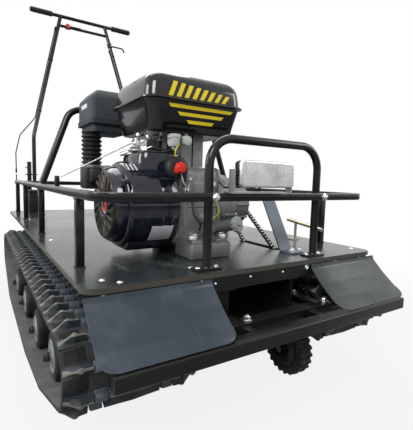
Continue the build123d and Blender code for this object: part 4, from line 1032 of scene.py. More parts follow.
def gear_case():
    """The round reduction case: turned steps, a domed cover with a rib ring, bosses with bolts, and the output hub."""
    form = Form()
    shaft = np.array([0, -575.0, 540.0])
    profile = [(60, -14), (93, -14), (94, -11), (94, 20), (91, 24), (94, 28), (94, 54), (91, 58), (78, 59), (78, 96)]
    profile += [(76, 112), (70, 124), (56, 130), (40, 131), (38, 128), (24, 128)]
    form.skin(turned(profile, shaft, X, 72))
    turns = np.arange(6) / 6 * TURN + 0.35
    spots = shaft + np.stack([0 * turns + 40, 85 * np.cos(turns), 85 * np.sin(turns)], 1)
    form.copies(Form().skin(turned([(10.5, -34), (10.5, 15), (9, 18)], 0 * X, Z, 20)), spots, X)
    form.copies(hex_bolt(12, 6, 8.5), spots + X * 18, X, 1)
    ribs = Form()
    ribs.skin(block((-2.5, -2, 0), (2.5, 24, 56), 2, 1))
    for turn in np.arange(12) / 12 * TURN:
        points = np.concatenate(ribs.points)
        ahead = np.array([0, math.cos(turn), math.sin(turn)])
        beside = np.cross(X, ahead)
        placed = shaft + X * 60 + points[:, :1] * beside + (points[:, 1:2] + 60) * ahead + points[:, 2:] * X
        form.add(placed, *ribs.faces[:1])
        form.faces.append(ribs.faces[1] + form.count - len(points))
        form.finish.append(np.zeros(2, int))
    form.skin(turned([(38, 110), (30, 118), (28, 122), (28, 139), (26, 141)], (0, -480, 520), X, 36))
    form.skin(block((20, -575, 500), (118, -480, 548), 20, 6, 0))
    return form


def cylinder():
    """The leaning cylinder: thin square fins stepped along its axis, the head with fins and bolts, and the outlet stub."""
    form = Form()
    lean = np.array([0, math.cos(math.radians(25)), math.sin(math.radians(25))])
    base = np.array([-84.0, -495, 544])
    places, outlines = [-18.0], [rounded(96, 96, 12, 4)]
    for place in np.arange(8, 124, 11.0):
        for step, size in ((0, 100), (0.8, 137), (1.6, 138), (2.4, 137), (3.2, 100)):
            places.append(place + step)
            outlines.append(rounded(size, size, 10, 4))
    form.skin(stacked(outlines, places, base, lean))
    head = [(126, 130), (128, 136), (144, 136), (146, 130), (148, 112), (156, 108), (162, 96)]
    form.skin(stacked([rounded(s, s, 12, 4) for _, s in head], [p for p, _ in head], base, lean))
    side = np.cross(X, lean)
    corners = np.array([(a, b) for a in (-50, 50) for b in (-50, 50)], float)
    spots = base + lean * 152 + corners[:, :1] * X + corners[:, 1:] * side
    form.copies(hex_bolt(14, 8, 9), spots, lean, 1)
    tube(form, [(-90, -430, 652), (-90, -372, 690), (-90, -372, 706)], 15, 16, X, 0, 24)
    return form


def fan_side():
    """The fan housing: a deep drum with rolled edges and stiffening rings, its base and its hood."""
    form = Form()
    shaft = np.array([0, -575.0, 540.0])
    profile = [(70, -155), (112, -155), (118, -156), (121, -160), (121, -176), (122, -178), (122, -184), (121, -186)]
    profile += [(121, -206), (122, -208), (122, -214), (121, -216), (121, -284), (119.6, -290), (116, -295.4), (111, -298.8), (104, -300)]
    form.skin(turned(profile, shaft, X, 88))
    form.skin(block((-290, -648, 418), (-158, -502, 520), 22, 7, 0))
    form.skin(block((-262, -671, 596), (-128, -507, 688), 30, 16))
    form.skin(block((-240, -668, 560), (-140, -560, 668), 22, 12))
    return form


def fan_slots():
    """Slots on the drum's wall: long rounded black pads round the shaft, each with a pale pad raised in its middle as a
    painted highlight of the slot.
    """
    form = Form()
    shaft = np.array([0, -575.0, 540.0])
    turn = math.radians(120)
    ahead = np.array([0, math.cos(turn), math.sin(turn)])
    beside = np.cross(X, ahead)
    for place in (-286.0, -275.0, -264.0, -253.0):
        # The black outer pad rims each slot; the pale inner pad is a painted highlight.
        for size, out, index in (((9.6, 42), 0.8, 0), ((5.2, 35), 1.4, 1)):
            outline = rounded(size[0], size[1], size[0] / 2 - 0.2, 6)
            rows = [112.0, 120.2 + out * 0.6, 120.2 + out]
            scale = [1.0, 1.0, 0.95]
            grid = np.stack([
                shaft + X * place + ahead * r + (outline[:, :1] * X + outline[:, 1:] * beside) * s
                for r, s in zip(rows, scale)
            ])  # fmt: skip
            form.skin(grid, finish=index)
    return form


def drum_label():
    """A bare label that follows the drum: a patch of the circle from one angle to another, a little over the wall."""
    turn = np.linspace(math.radians(205), math.radians(229), 12)
    ring = np.concatenate([np.stack([0 * turn + r, t], 1) for r, t in ((122.7, turn), (121.0, turn[::-1]))])
    y, z = -575 + ring[:, 0] * np.cos(ring[:, 1]), 540 + ring[:, 0] * np.sin(ring[:, 1])
    return Form().skin(np.stack([np.stack([0 * y + x, y, z], 1) for x in (-235.0, -172.0)]))


def recoil_cover():
    """The recoil cover: a polar grid whose face is sunk wherever curved spokes leave openings, with a red hub."""
    shaft = np.array([0, -575.0, 540.0])
    radius = np.array([106, 106, 104, 100, 95, 92, 89, 87.6, 86, 80, 74, 68, 62, 56, 50, 44, 42.6, 41, 36, 31, 28.5, 27.5, 27, 26.6])
    height = np.array([0, 6, 12, 20, 27, 31, 33.4, 34, 34, 34, 34, 34, 34, 34, 34, 34, 34, 34, 34, 34, 33, 30, 27, 26])
    angle = np.arange(200) / 200 * TURN
    wave = np.cos(angle[None] * 18 + radius[:, None] * 0.09)
    opening = ((radius > 43) & (radius < 87.9))[:, None] & (wave > -0.1)
    sunk = np.where(opening, 6.5, 0.0)
    x = -300 - height[:, None] + sunk
    y = shaft[1] + radius[:, None] * np.cos(angle)
    z = shaft[2] + radius[:, None] * np.sin(angle)
    form = Form()
    # Spokes between the openings take a bronze metal tint, a painted gold sheen on the black cover.
    index = np.where(opening[:-1] & opening[1:], 1, np.where((radius[1:] < 94) & (radius[1:] > 30), 5, 0)[:, None])
    form.skin(np.stack([x, y, z], -1), finish=index.ravel())
    badge = [(27, 318), (26, 328), (23.6, 329), (23.5, 329.2), (19, 329.8), (18.8, 329.9), (9, 330.6), (8.6, 331.4), (2, 331.8)]
    rows = turned([(r, -x) for r, x in badge], shaft, X, 48)
    bands = np.repeat([4, 2, 2, 3, 3, 2, 2, 0], 48)
    form.skin(rows, finish=bands)
    turns = np.arange(3) / 3 * TURN + 0.4
    spots = shaft + np.stack([0 * turns - 304, 101 * np.cos(turns), 101 * np.sin(turns)], 1)
    form.copies(hex_bolt(10, 5, 7), spots, -X, 4)
    grip = block((-318, -700, 600), (-300, -668, 612), 5, 4, 1)
    return form.skin(grip, finish=1)


def switch_box():
    """The stop switch: a round black box with a rim, a finger-ribbed red knob and two thin wires."""
    form = Form()
    centre = np.array([-166.0, -671, 646])
    form.skin(turned([(31, 0), (31, 22), (28, 27), (20, 30), (12, 30)], centre, -Y, 40))
    rows = [toothed(r, 2.4, 8, 8) for r in (14.4, 15, 15, 13, 7)]
    form.skin(stacked(rows, [29, 31, 44, 49, 50], centre, -Y), finish=1)
    form.skin(carried(circle(6.5, 16), [centre + (0, -36, 0), centre + (-16, -40, -10)], X), finish=1)
    loop = bent([(-162, -699, 640), (-158, -712, 606), (-138, -704, 590), (-124, -684, 604), (-120, -668, 640)], 14, 6)
    form.skin(carried(circle(1.5, 8), loop, X), finish=2)
    loop = bent([(-172, -690, 668), (-176, -694, 690), (-160, -680, 706), (-150, -668, 712)], 10, 6)
    return form.skin(carried(circle(1.5, 8), loop, X), finish=3)


# Tank, intake and silencer

TANK_ROWS = np.array(
    # height, inset from the seam's wall, corner
    [
        (742, 30, 22), (742.6, 23, 26), (745, 18.6, 30), (749, 17, 32), (770, 12.6, 34), (800, 6, 34), (822, 1, 34),
        (824.2, 0, 34), (824.6, -8.6, 42), (825.4, -9.8, 43), (828.8, -9.8, 43), (829.6, -8.6, 42), (830, 0, 34),
        (846, 0.8, 34), (864, 3, 34), (876, 5.6, 34), (884, 9.4, 33), (891, 15, 32), (896.6, 22, 31), (900.4, 30, 30),
        (902.6, 40, 28), (904, 56, 24), (904.4, 90, 12),
    ]
)  # fmt: skip


def fuel_tank():
    """The tank: rounded rectangles whose inset follows a table of heights, with a rolled seam flange."""
    low, high = np.array([-249.0, -686.0]), np.array([53.0, -404.0])
    rows = []
    for height, inset, corner in TANK_ROWS:
        outline = rounded(*(high - low - 2 * inset), corner, 10) + (low + high) / 2
        rows.append(np.concatenate([outline, np.full((len(outline), 1), height)], 1))
    return Form().skin(np.stack(rows))


def on_tank_front(left, right, low, high, slant=0.0, spread=0.0):
    """A thin film on the tank's front wall: its rows follow the wall's inset at their height and drift sideways."""
    share = np.linspace(0, 1, 12)
    height = low + (high - low) * share
    wall = -686 + np.interp(height, TANK_ROWS[:, 0], TANK_ROWS[:, 1])
    start, end = left + slant * share - spread * share, right + slant * share + spread * share
    corners = ((start, wall - 0.6), (end, wall - 0.6), (end, wall + 1), (start, wall + 1))
    return np.stack([np.stack([x, y, height], 1) for x, y in corners], 1)


def tank_stripes():
    """The tank's plain yellow motif: a row of slanted bars over the seam and three lines that shorten below it."""
    form = Form()
    for step in range(8):
        left = -194 + step * 24.0
        form.skin(on_tank_front(left, left + 13, 834, 874 - 2.6 * step, 17))
    for z, left, right in ((811, -184, 10), (792, -154, -20), (773, -124, -50)):
        form.skin(on_tank_front(left, right, z - 4.5, z + 4.5, 0, 8))
    return form


def tank_cap():
    """The filler cap: a finger-ribbed skirt, a rolled edge and a raised crown."""
    outline = [toothed(r, 2.2, 22, 6) for r in (31, 31, 30.4)]
    form = Form().skin(stacked(outline, [0, 13, 15], (-98, -545, 904), Z))
    return form.skin(turned([(30, 12), (29, 16.5), (24, 17.6), (14, 18), (4, 18)], (-98, -545, 904), Z, 40))


def fuel_valve():
    """Under the tank: a bowl with a clamped rim, a smaller filter cup, a lever and a hose that loops to the intake."""
    form = Form()
    bowl = [(6, 4), (6, -2), (19, -3), (20, -5), (20, -12), (18, -13), (18, -28), (15, -36), (6, -39)]
    form.skin(turned(bowl, (-158, -652, 742), Z, 36))
    form.copies(hex_bolt(11, 6), [(-158, -652, 704)], -Z, 1)
    cup = [(5, 2), (5, -6), (13, -7), (13.6, -9), (13.6, -24), (11, -29), (4, -30)]
    form.skin(turned(cup, (-122, -656, 742), Z, 32))
    form.skin(turned([(12, 0), (13, 2), (13, 6), (9, 8)], (-126, -668, 722), -Y, 28))
    form.skin(block((-180, -664, 726), (-150, -658, 732), 2, 1), finish=1)
    hose = bent([(-150, -650, 706), (-150, -640, 690), (-200, -600, 704), (-214, -400, 640)], 26, 6)
    return form.skin(carried(circle(3.4, 12), hose, X), finish=2)


def air_filter():
    """The air filter: a chamfered lid with a step and a lip over a smaller base, and two wing clips."""
    form = Form()
    low, high = np.array([-300.0, -330.0]), np.array([-150.0, -140.0])
    rows = []
    table = [
        (768, 16, 8), (770, 12.5, 10), (792, 11.5, 12), (793.6, 8, 13), (794.4, 1.4, 14), (796, 0, 15), (812, 0, 15),
        (813.4, 2.4, 15), (815, 3, 15), (878, 4, 15), (882, 5, 15), (905, 24, 12), (908.6, 28, 11), (910, 34, 8),
    ]  # fmt: skip
    for height, inset, corner in table:
        outline = rounded(*(high - low - 2 * inset), corner, 4) + (low + high) / 2
        rows.append(np.concatenate([outline, np.full((len(outline), 1), height)], 1))
    form.skin(np.stack(rows))
    form.skin(block((-297.6, -268, 850), (-294.4, -196, 866), 1.6, 1.0, 1), finish=1)
    form.skin(block((-240, -250, 906), (-206, -216, 909.9), 12, 1.5))
    return form


def intake_duct():
    """The intake: a bellows whose radius follows a sine wave of height, and an angular elbow to the carburettor."""
    form = Form()
    height = np.linspace(651, 768, 96)
    radius = 31.6 + 3.2 * np.cos((height - 651) / 117 * TURN * 8)
    form.skin(turned(np.stack([radius, height], 1), (-282 + 12, -272, 0), Z, 44) + np.array([-12.0, 0, 0]))
    form.skin(block((-316, -306, 574), (-248, -238, 650), 11, 9))
    form.skin(block((-300, -330, 596), (-232, -262, 646), 12, 8, 0))
    form.skin(turned([(36, 646), (37, 648), (37, 655), (35, 657), (32, 658)], (-282, -272, 0), Z, 40), finish=1)
    return form


def carburettor():
    """The carburettor: a cast body, a round bowl with a drain screw, a throttle arm, and the linkage with its springs."""
    form = Form()
    form.skin(block((-262, -360, 602), (-136, -298, 654), 10, 4, 0))
    for x in (-250, -206, -150):
        form.skin(block((x - 5, -362, 600), (x + 5, -296, 655), 8, 1.5, 0))
    bowl = [(26, 600), (27, 598), (27, 592), (25.4, 590), (24, 566), (20, 561), (8, 560)]
    form.skin(turned(bowl, (-199, -329, 0), Z, 36))
    form.skin(turned([(6, 655), (7, 657), (7, 668), (4, 670)], (-199, -329, 0), Z, 20), finish=1)
    wire = np.array([(-423, -421, 608.3), (-246, -595, 718.3)])
    form.skin(carried(circle(1.9, 10), wire, Z), finish=1)
    form.skin(block((-429.6, -428, 586.3), (-416.4, -414, 616), 3, 1), finish=2)
    form.skin(block((-262, -612, 690.5), (-230, -590, 693.5), 5, 0.8), finish=1)
    form.skin(block((-254, -603, 690.5), (-238, -600, 726), 3, 0.8), finish=1)
    for start, end, radius, turns in (
        ((-262, -606, 706), (-206, -560, 716), 6.0, 11),
        ((-246, -592, 724), (-180, -610, 732), 5.0, 12),
        ((-222, -560, 700), (-230, -420, 690), 5.5, 22),
    ):
        start, end = np.array(start, float), np.array(end, float)
        axis, first, second = square_to(end - start)
        share = np.linspace(0, 1, turns * 10)[:, None]
        turn = share * turns * TURN
        coil = start + (end - start) * share + radius * (np.cos(turn) * first + np.sin(turn) * second)
        form.skin(carried(circle(1.1, 6), coil, axis), finish=1)
    for line in (
        [(-270, -612, 696), (-250, -600, 700), (-214, -602, 726), (-170, -596, 728)],
        [(-256, -590, 716), (-236, -560, 730), (-212, -520, 730)],
        [(-230, -596, 692), (-204, -608, 706), (-178, -600, 700)],
    ):
        form.skin(carried(circle(2.2, 10), bent(line, 8, 5), Z), finish=1)
    form.copies(hex_bolt(11, 6, 8), [(-214, -602, 728), (-240, -596, 732), (-176, -598, 724)], Z, 1)
    form.skin(block((-262, -620, 688), (-166, -566, 692), 8, 1))
    return form


def silencer():
    """The silencer: a chamfered box with pressed ribs, a slotted guard seam and a short outlet pipe."""
    form = Form()
    rows = []
    table = [(-90, 16, 12), (-86, 4, 18), (-82, 0, 22), (-40, 0, 22), (-38, -0, 22), (-10, 0, 22), (52, 0, 22), (56, 4, 18), (60, 16, 12)]
    for x, inset, corner in table:
        outline = rounded(110 - 2 * inset, 112 - 2 * inset, corner, 5)
        rows.append(np.stack([0 * outline[:, 0] + x, outline[:, 0] - 341, outline[:, 1] + 762], 1))
    form.skin(np.stack(rows))
    for x in (-60, -30, 0, 30):
        outline = rounded(111.6, 113.6, 22, 5)
        ring = [np.stack([0 * outline[:, 0] + x + d, outline[:, 0] * s - 341, outline[:, 1] * s + 762], 1) for d, s in ((-5, 0.97), (-2, 0.985), (2, 0.985), (5, 0.97))]
        form.skin(np.stack(ring))
    form.skin(turned([(15, 56), (15, 89), (14.4, 90), (11, 90), (11, 70)], (0, -341, 743), X, 28), finish=1)
    form.copies(hex_bolt(10, 5, 7), [(60, -380, 800), (60, -302, 800), (60, -302, 722)], X, 2)
    return form


# Handlebar and rear


def handlebar():
    """The handlebar: two bent uprights, the top bar and the cross tube."""
    form = Form()
    for side in (-1, 1):
        line = [(side * 326, 845, 574), (side * 326, 845, 850), (side * 140, 983.5, 1628)]
        form.skin(carried(circle(11, 24), bent(line, 150, 12), Y))
    form.skin(turned([(10, -318), (11, -316), (11, 316), (10, 318)], (0, 983.5, 1628), X, 24))
    form.skin(turned([(9, -150.5), (9, 150.5)], (0, 972.5, 1566), X, 20))
    return form


def grips():
    """Grips: a radius that follows narrow waves along the bar, with a flange and a round end."""
    form = Form()
    along = np.linspace(194, 309, 150)
    radius = 15.6 + 0.9 * np.sign(np.sin((along - 194) / 115 * TURN * 11))
    profile = [(11.5, 190), (16.4, 190.4), (16.5, 193)]
    profile += list(zip(radius, along))
    profile += [(16, 311), (13, 314), (6, 315)]
    for side in (-1, 1):
        form.skin(turned(profile, (0, 983.5, 1628), side * X, 28))
    return form


def brake_lever():
    """The hand lever: a clamp ring with a bolt, and a blade along its bend."""
    form = Form()
    down = unit(np.array([186, -138.5, -778.0]))
    centre = np.array([169.6, 961.4, 1504])
    form.skin(turned([(12, -12), (15.6, -11.6), (16, -10), (16, 10), (15.6, 11.6), (12, 12)], centre, down, 28))
    path = bent([(178, 961.4, 1504), (262, 961.4, 1504), (272, 961.4, 1480)], 20, 8)
    form.skin(carried(rounded(7, 9.6, 3, 3), path, Y))
    return form.copies(hex_bolt(9, 4, 6), [(176, 950, 1504)], -Y, 1)


def handlebar_parts():
    """The red stop button in its ring, cable clips round the uprights, and the silver rod on the cross tube."""
    form = Form()
    for side, share in ((-1, 0.2), (-1, 0.62), (1, 0.42), (1, 0.75)):
        low, high = np.array([side * 326.0, 845, 850]), np.array([side * 140.0, 983.5, 1628])
        spot = low + (high - low) * share
        form.skin(turned([(11.4, -4), (13, -3.4), (13, 3.4), (11.4, 4)], spot, high - low, 24), finish=1)
        form.skin(block(spot - (2.5, 17, 2), spot + (2.5, -10, 2), 1.5, 0.8, 1), finish=1)
    form.skin(turned([(9.4, -112), (14, -111), (14, -86), (9.4, -85)], (0, 972.5, 1566), X, 24), finish=1)
    form.skin(turned([(10.5, 12), (10.5, 20), (8, 23), (3, 24)], (-98, 972.5, 1566), -Y, 24), finish=0)
    form.skin(turned([(10.5, 12), (10.5, 17), (8, 20), (3, 21)], (-98, 972.5, 1566), Z, 24), finish=0)
    form.skin(turned([(3.4, -84), (3.4, -20)], (0, 962, 1574), X, 14), finish=2)
    return form


def cables(form):
    """Adds the two control cables, each with a boot at its lower end and a ferrule at its top."""
    lines = (
        [(-173.5, 969.7, 1550), (-314.9, 864.4, 959), (-398, 862, 850), (-423, 845, 745), (-423, 845, 626)],
        [(162.3, 955.8, 1472), (305.5, 849.2, 873), (301, 845, 690), (301, 845, 626)],
    )
    for line in lines:
        form.skin(carried(circle(3, 12), bent(line, 40, 10), Y))
        line = np.array(line, float)
        form.skin(carried(circle(4.6, 12), np.array([line[-1], line[-1] + (0, 0, 26)]), Y))
        ahead = unit(line[1] - line[0])
        form.skin(carried(circle(4.6, 12), np.array([line[0], line[0] + ahead * 24]), Y))


def rear_parts():
    """Sockets with their cheeks, welds and pivot bolts, and the lower cables through the deck."""
    form = Form()
    for side in (-1, 1):
        low, high = sorted((side * 326, side * 382))
        form.skin(block((low, 834, 400), (high, 874.7, 405), 6, 1))
        form.skin(block((min(side * 343, side * 365), 834, 400), (max(side * 343, side * 365), 856, 695), 2.6, 0.8))
        x = side * 354
        for y in (834, 856):
            form.skin(weld_bead([(x - 11, y, 405), (x + 11, y, 405)], 2.2, Z))
        form.skin(turned([(5.9, -17), (6, 45)], (side * 326, 845, 622), side * X, 20), finish=1)
        form.copies(hex_bolt(14, 7, 9), [(side * 366, 845, 622), (side * 366, 845, 664)], side * X, 1)
        form.copies(dome_bolt(5, 3), [(side * 374, 865, 405), (side * 334, 865, 405)], Z, 1)
    for x in (-423, 301):
        form.skin(turned([(3, 400), (3, 618)], (x, 845, 0), Z, 12), finish=2)
        form.skin(turned([(7, 400), (8, 401), (8, 406), (5, 412), (3.4, 420)], (x, 845, 0), Z, 20), finish=2)
    return form


def rear_box():
    """The small rear box: a rounded case, a lid with a lip, and four lid screws."""
    form = Form().skin(block((-367, 762, 400), (-283, 810, 512), 6, 3))
    form.skin(block((-367, 761, 508), (-283, 811, 530), 7, 4))
    spots = [(x, y, 530) for x in (-358, -292) for y in (770, 802)]
    return form.copies(ring_bolt(3.4), [(x, y, z - 2.5) for x, y, z in spots], Z, 1)


def fasteners():
    """Bolts of deck, flange, hoop and inner bar: each kind copied to its spots."""
    form = Form()
    deck = [(-411, 393), (-418, -271), (-407, -818), (-379, -849), (-185, -803), (-146, -810), (261, -790), (256, -752)]
    deck += [(430, -817), (418, -271), (411, 393), (-411, 820), (411, 820), (-120, 560), (120, 560), (-120, 40), (120, 40)]
    form.copies(dome_bolt(7, 2.6), [(x, y, 400) for x, y in deck])
    form.copies(ring_bolt(7), [(x, -875.4, 379.6) for x in (-421, -196, 151, 276, 393)], -Y)
    form.copies(dome_bolt(3.6, 2.4), [(x, -875.2, z) for x, z in ((-157, 373), (-51, 377), (60, 376))], -Y)
    form.copies(hex_bolt(15, 6, 10), [(-158, -868.2, 576), (217, -868.2, 576)], -Y)
    form.copies(hex_bolt(15, 8, 13), [(-92, -917, 288), (181, -917, 288)], Z)
    form.copies(hex_bolt(13, 6, 10), [(-138, -835, 293.3), (150, -835, 293.3)], Z)
    form.copies(hex_bolt(13, 6, 10), [(186, -782, 405)], Z)
    return form


def wiring():
    """Black wires: two from the gear case to the lamp, and a pair by the crankcase."""
    form = Form()
    lines = (
        [(30, -660, 600), (10, -700, 640), (-10, -760, 622), (-24, -850, 628), (-30, -876, 632)],
        [(-14, -668, 612), (-30, -720, 596), (-10, -800, 600), (-20, -858, 594), (-22, -876, 620)],
        [(-110, -676, 560), (-118, -700, 520), (-96, -706, 490), (-84, -676, 470)],
    )
    for line in lines:
        form.skin(carried(circle(2.6, 10), bent(line, 16, 6), X))
    yellow = bent([(-60, -684, 610), (-48, -706, 560), (-30, -700, 520), (-44, -680, 500)], 16, 6)
    form.skin(carried(circle(1.6, 8), yellow, X), finish=1)
    return form


# Steps of the panel


class TugColours(bpy.types.PropertyGroup):
    """The colours of the finishes."""

    __annotations__ = {
        key: bpy.props.FloatVectorProperty(
            name=label, description=f"Base colour: {label.lower()}", default=value, subtype="COLOR", min=0.0, max=1.0
        )
        for key, label, value in COLOURS
    }


class TugTracks(bpy.types.PropertyGroup):
    """Sizes of the tracks."""

    lug_count: bpy.props.IntProperty(name="Lugs", description="Lugs on each track", default=60, min=12)
    lug_height: bpy.props.FloatProperty(
        name="Lug height", description="Height of a lug over the belt", default=0.0218, unit="LENGTH"
    )
    belt_thickness: bpy.props.FloatProperty(
        name="Belt thickness", description="Thickness of the belt", default=0.0078, unit="LENGTH"
    )


class TugCamera(bpy.types.PropertyGroup):
    """Where the camera stands and looks."""

    place: bpy.props.FloatVectorProperty(
        name="Place", description="Camera place", default=(-0.624, -1.556, 0.616), subtype="TRANSLATION"
    )
    heading: bpy.props.FloatProperty(
        name="Heading", description="Turn from +Y towards +X", default=math.radians(32.68), subtype="ANGLE"
    )
    dip: bpy.props.FloatProperty(
        name="Dip", description="Angle below the horizon", default=math.radians(5.60), subtype="ANGLE"
    )
    roll: bpy.props.FloatProperty(
        name="Roll", description="Turn about the view line", default=math.radians(1.55), subtype="ANGLE"
    )
    lens: bpy.props.FloatProperty(
        name="Lens", description="Focal length for a 36 mm sensor, in millimetres", default=30.08
    )


class SNOWTUG_OT_paint(bpy.types.Operator):
    """Gives every frame node its finish"""

    bl_idname = "snowtug.paint"
    bl_label = "Paint the frame"

    def execute(self, context):
        for name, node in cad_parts.items():
            node.data.materials.clear()
            node.data.materials.append(finish(NODE_FINISH.get(name, "frame_black")))
        return {"FINISHED"}


class SNOWTUG_OT_tracks(bpy.types.Operator):
    """Makes both tracks"""

    bl_idname = "snowtug.tracks"
    bl_label = "Tracks"

    def execute(self, context):
        for side, name in ((1, "left"), (-1, "right")):
            form = track(side, context.scene.snowtug_tracks)
            piece(f"belt_{name}", form, "belt_rubber belt_inside lug_crest clip_grey lug_rubber pocket_rubber", stands_for=f"track_{name}")
        return {"FINISHED"}


class SNOWTUG_OT_wheels(bpy.types.Operator):
    """Makes the wheels, drums, sprockets and chain"""

    bl_idname = "snowtug.wheels"
    bl_label = "Wheels and chain"

    def execute(self, context):
        piece("road_wheels", wheels(), "tyre_rubber hub_steel bare_steel cast_dark", stands_for="wheel_sets")
        drive = axle_set(-827, 227, 64.6)
        drive.copies(sprocket(66, 33, 7, 6, 24), [(184, -827, 227)], X, 2)
        piece("drive_drums", drive, "bare_steel black_plastic chain_steel", stands_for="drive_axle")
        piece("rear_drums", axle_set(625, 212, 76.6), "bare_steel black_plastic", stands_for="rear_axle")
        output = Form().copies(sprocket(43, 20, 7, 0, 20), [(184, -480, 520)], X)
        output.skin(turned([(11.9, -52), (11.9, 3), (10, 4)], (184, -480, 520), X, 24))
        piece("output_wheel", output, "chain_steel", stands_for="output_sprocket")
        piece("chain_links", chain(), "chain_steel bare_steel", stands_for="drive_chain")
        piece("guide_wheel_tread", guide_wheel(), "tyre_rubber black_plastic bare_steel", stands_for="guide_wheel")
        return {"FINISHED"}


class SNOWTUG_OT_railing(bpy.types.Operator):
    """Makes the railing and the hoops"""

    bl_idname = "snowtug.railing"
    bl_label = "Railing and hoops"

    def execute(self, context):
        piece("rail_tubes", railing(), "frame_gloss", stands_for="top_rail rail_posts")
        piece("front_hoop_tube", front_hoop(), "frame_gloss bright_zinc", stands_for="front_hoop")
        form = Form()
        line = [(-419, -104, 586), (-316, -104, 870), (316, -104, 870), (419, -104, 586)]
        tube(form, line, 12.5, 62, Y, 0, 28)
        piece("rear_hoop_tube", form, "frame_gloss", stands_for="rear_hoop")
        return {"FINISHED"}


class SNOWTUG_OT_front(bpy.types.Operator):
    """Makes the bumper, the bent front plates and all bolts of the deck"""

    bl_idname = "snowtug.front"
    bl_label = "Front and bolts"

    def execute(self, context):
        piece("bumper_tube", front_bars(), "bumper_olive", stands_for="front_bumper")
        for name, left, right in (("right", -460, -168), ("left", 168, 460)):
            form = Form().skin(front_plate(left, right))
            tone = "plate_grey" if name == "left" else "plate_blue"
            piece(f"bent_plate_{name}", form, tone, stands_for=f"front_plate_{name}")
        piece("deck_bolts", fasteners(), "bright_zinc")
        return {"FINISHED"}


class SNOWTUG_OT_lamp(bpy.types.Operator):
    """Makes the lamp with its reflector and pane"""

    bl_idname = "snowtug.lamp"
    bl_label = "Lamp"

    def execute(self, context):
        piece("lamp_case", lamp_head(), "black_plastic", body="lamp", stands_for="lamp_body")
        piece("lamp_front", lamp_glass(), "reflector bright_zinc lens_clear led_yellow", body="lamp", stands_for="lamp_lens")
        return {"FINISHED"}


class SNOWTUG_OT_engine(bpy.types.Operator):
    """Makes the crankcase, the gear case and the cylinder"""

    bl_idname = "snowtug.engine"
    bl_label = "Engine block"

    def execute(self, context):
        piece("crankcase_casting", crankcase(), "cast_grey bright_zinc", stands_for="crankcase")
        piece("oil_cap", oil_cap(), "pale_plastic")
        piece("gear_casting", gear_case(), "cast_grey bright_zinc", stands_for="gear_case")
        piece("cylinder_fins", cylinder(), "cast_grey bright_zinc", stands_for="cylinder")
        piece("wires", wiring(), "black_plastic yellow_film")
        return {"FINISHED"}


class SNOWTUG_OT_fan(bpy.types.Operator):
    """Makes the fan housing, the recoil cover and the switch"""

    bl_idname = "snowtug.fan"
    bl_label = "Fan side"

    def execute(self, context):
        piece("fan_drum", fan_side(), "shroud_gloss", stands_for="fan_housing")
        piece("fan_slots", fan_slots(), "black_plastic white_film")
        piece("recoil_face", recoil_cover(), "shroud_gloss black_plastic red_plastic white_film bare_steel cover_bronze", stands_for="recoil_cover")
        piece("stop_switch", switch_box(), "black_plastic red_plastic pale_plastic yellow_film", stands_for="switch_box")
        piece("housing_label", drum_label(), "white_film")
        return {"FINISHED"}


class SNOWTUG_OT_tank(bpy.types.Operator):
    """Makes the fuel tank with its motif, cap and valve"""

    bl_idname = "snowtug.tank"
    bl_label = "Fuel tank"

    def execute(self, context):
        piece("tank_shell", fuel_tank(), "tank_gloss", stands_for="fuel_tank", crease=50)
        piece("tank_motif", tank_stripes(), "yellow_film")
        piece("tank_filler", tank_cap(), "black_plastic", stands_for="tank_cap")
        piece("fuel_valve", fuel_valve(), "pale_plastic bright_zinc black_plastic")
        return {"FINISHED"}


class SNOWTUG_OT_intake(bpy.types.Operator):
    """Makes the air filter, the bellows, the carburettor and the silencer"""

    bl_idname = "snowtug.intake"
    bl_label = "Intake and silencer"

    def execute(self, context):
        piece("filter_lid", air_filter(), "filter_plastic white_film", stands_for="air_filter")
        piece("bellows", intake_duct(), "black_plastic bare_steel", stands_for="intake_duct")
        piece("carburettor_casting", carburettor(), "cast_grey bright_zinc black_plastic", stands_for="carburettor")
        piece("silencer_box", silencer(), "cast_dark bare_steel bright_zinc", stands_for="silencer")
        return {"FINISHED"}


class SNOWTUG_OT_handlebar(bpy.types.Operator):
    """Makes the handlebar with its grips, lever and cables"""

    bl_idname = "snowtug.handlebar"
    bl_label = "Handlebar"

    def execute(self, context):
        body = "handlebar_body"
        piece("handlebar_tubes", handlebar(), "frame_gloss", body=body, stands_for="handlebar")
        piece("grip_sleeves", grips(), "grip_rubber", body=body, stands_for="grips")
        lever = brake_lever()
        cables(lever)
        piece("lever_and_cables", lever, "black_plastic bright_zinc", body=body, stands_for="brake_lever")
        piece("bar_fittings", handlebar_parts(), "red_plastic black_plastic bright_zinc", body=body)
        return {"FINISHED"}


class SNOWTUG_OT_rear(bpy.types.Operator):
    """Makes the handlebar's sockets and the rear box"""

    bl_idname = "snowtug.rear"
    bl_label = "Rear"

    def execute(self, context):
        piece("socket_posts", rear_parts(), "frame_gloss bright_zinc black_plastic", stands_for="handlebar_sockets")
        piece("box_case", rear_box(), "black_plastic bright_zinc", stands_for="rear_box")
        return {"FINISHED"}


class SNOWTUG_OT_stage(bpy.types.Operator):
    """Makes the floor, the lights and the camera"""

    bl_idname = "snowtug.stage"
    bl_label = "Set the stage"

    def execute(self, context):
        place_floor()
        place_lights()
        place_camera(context.scene.snowtug_camera)
        return {"FINISHED"}


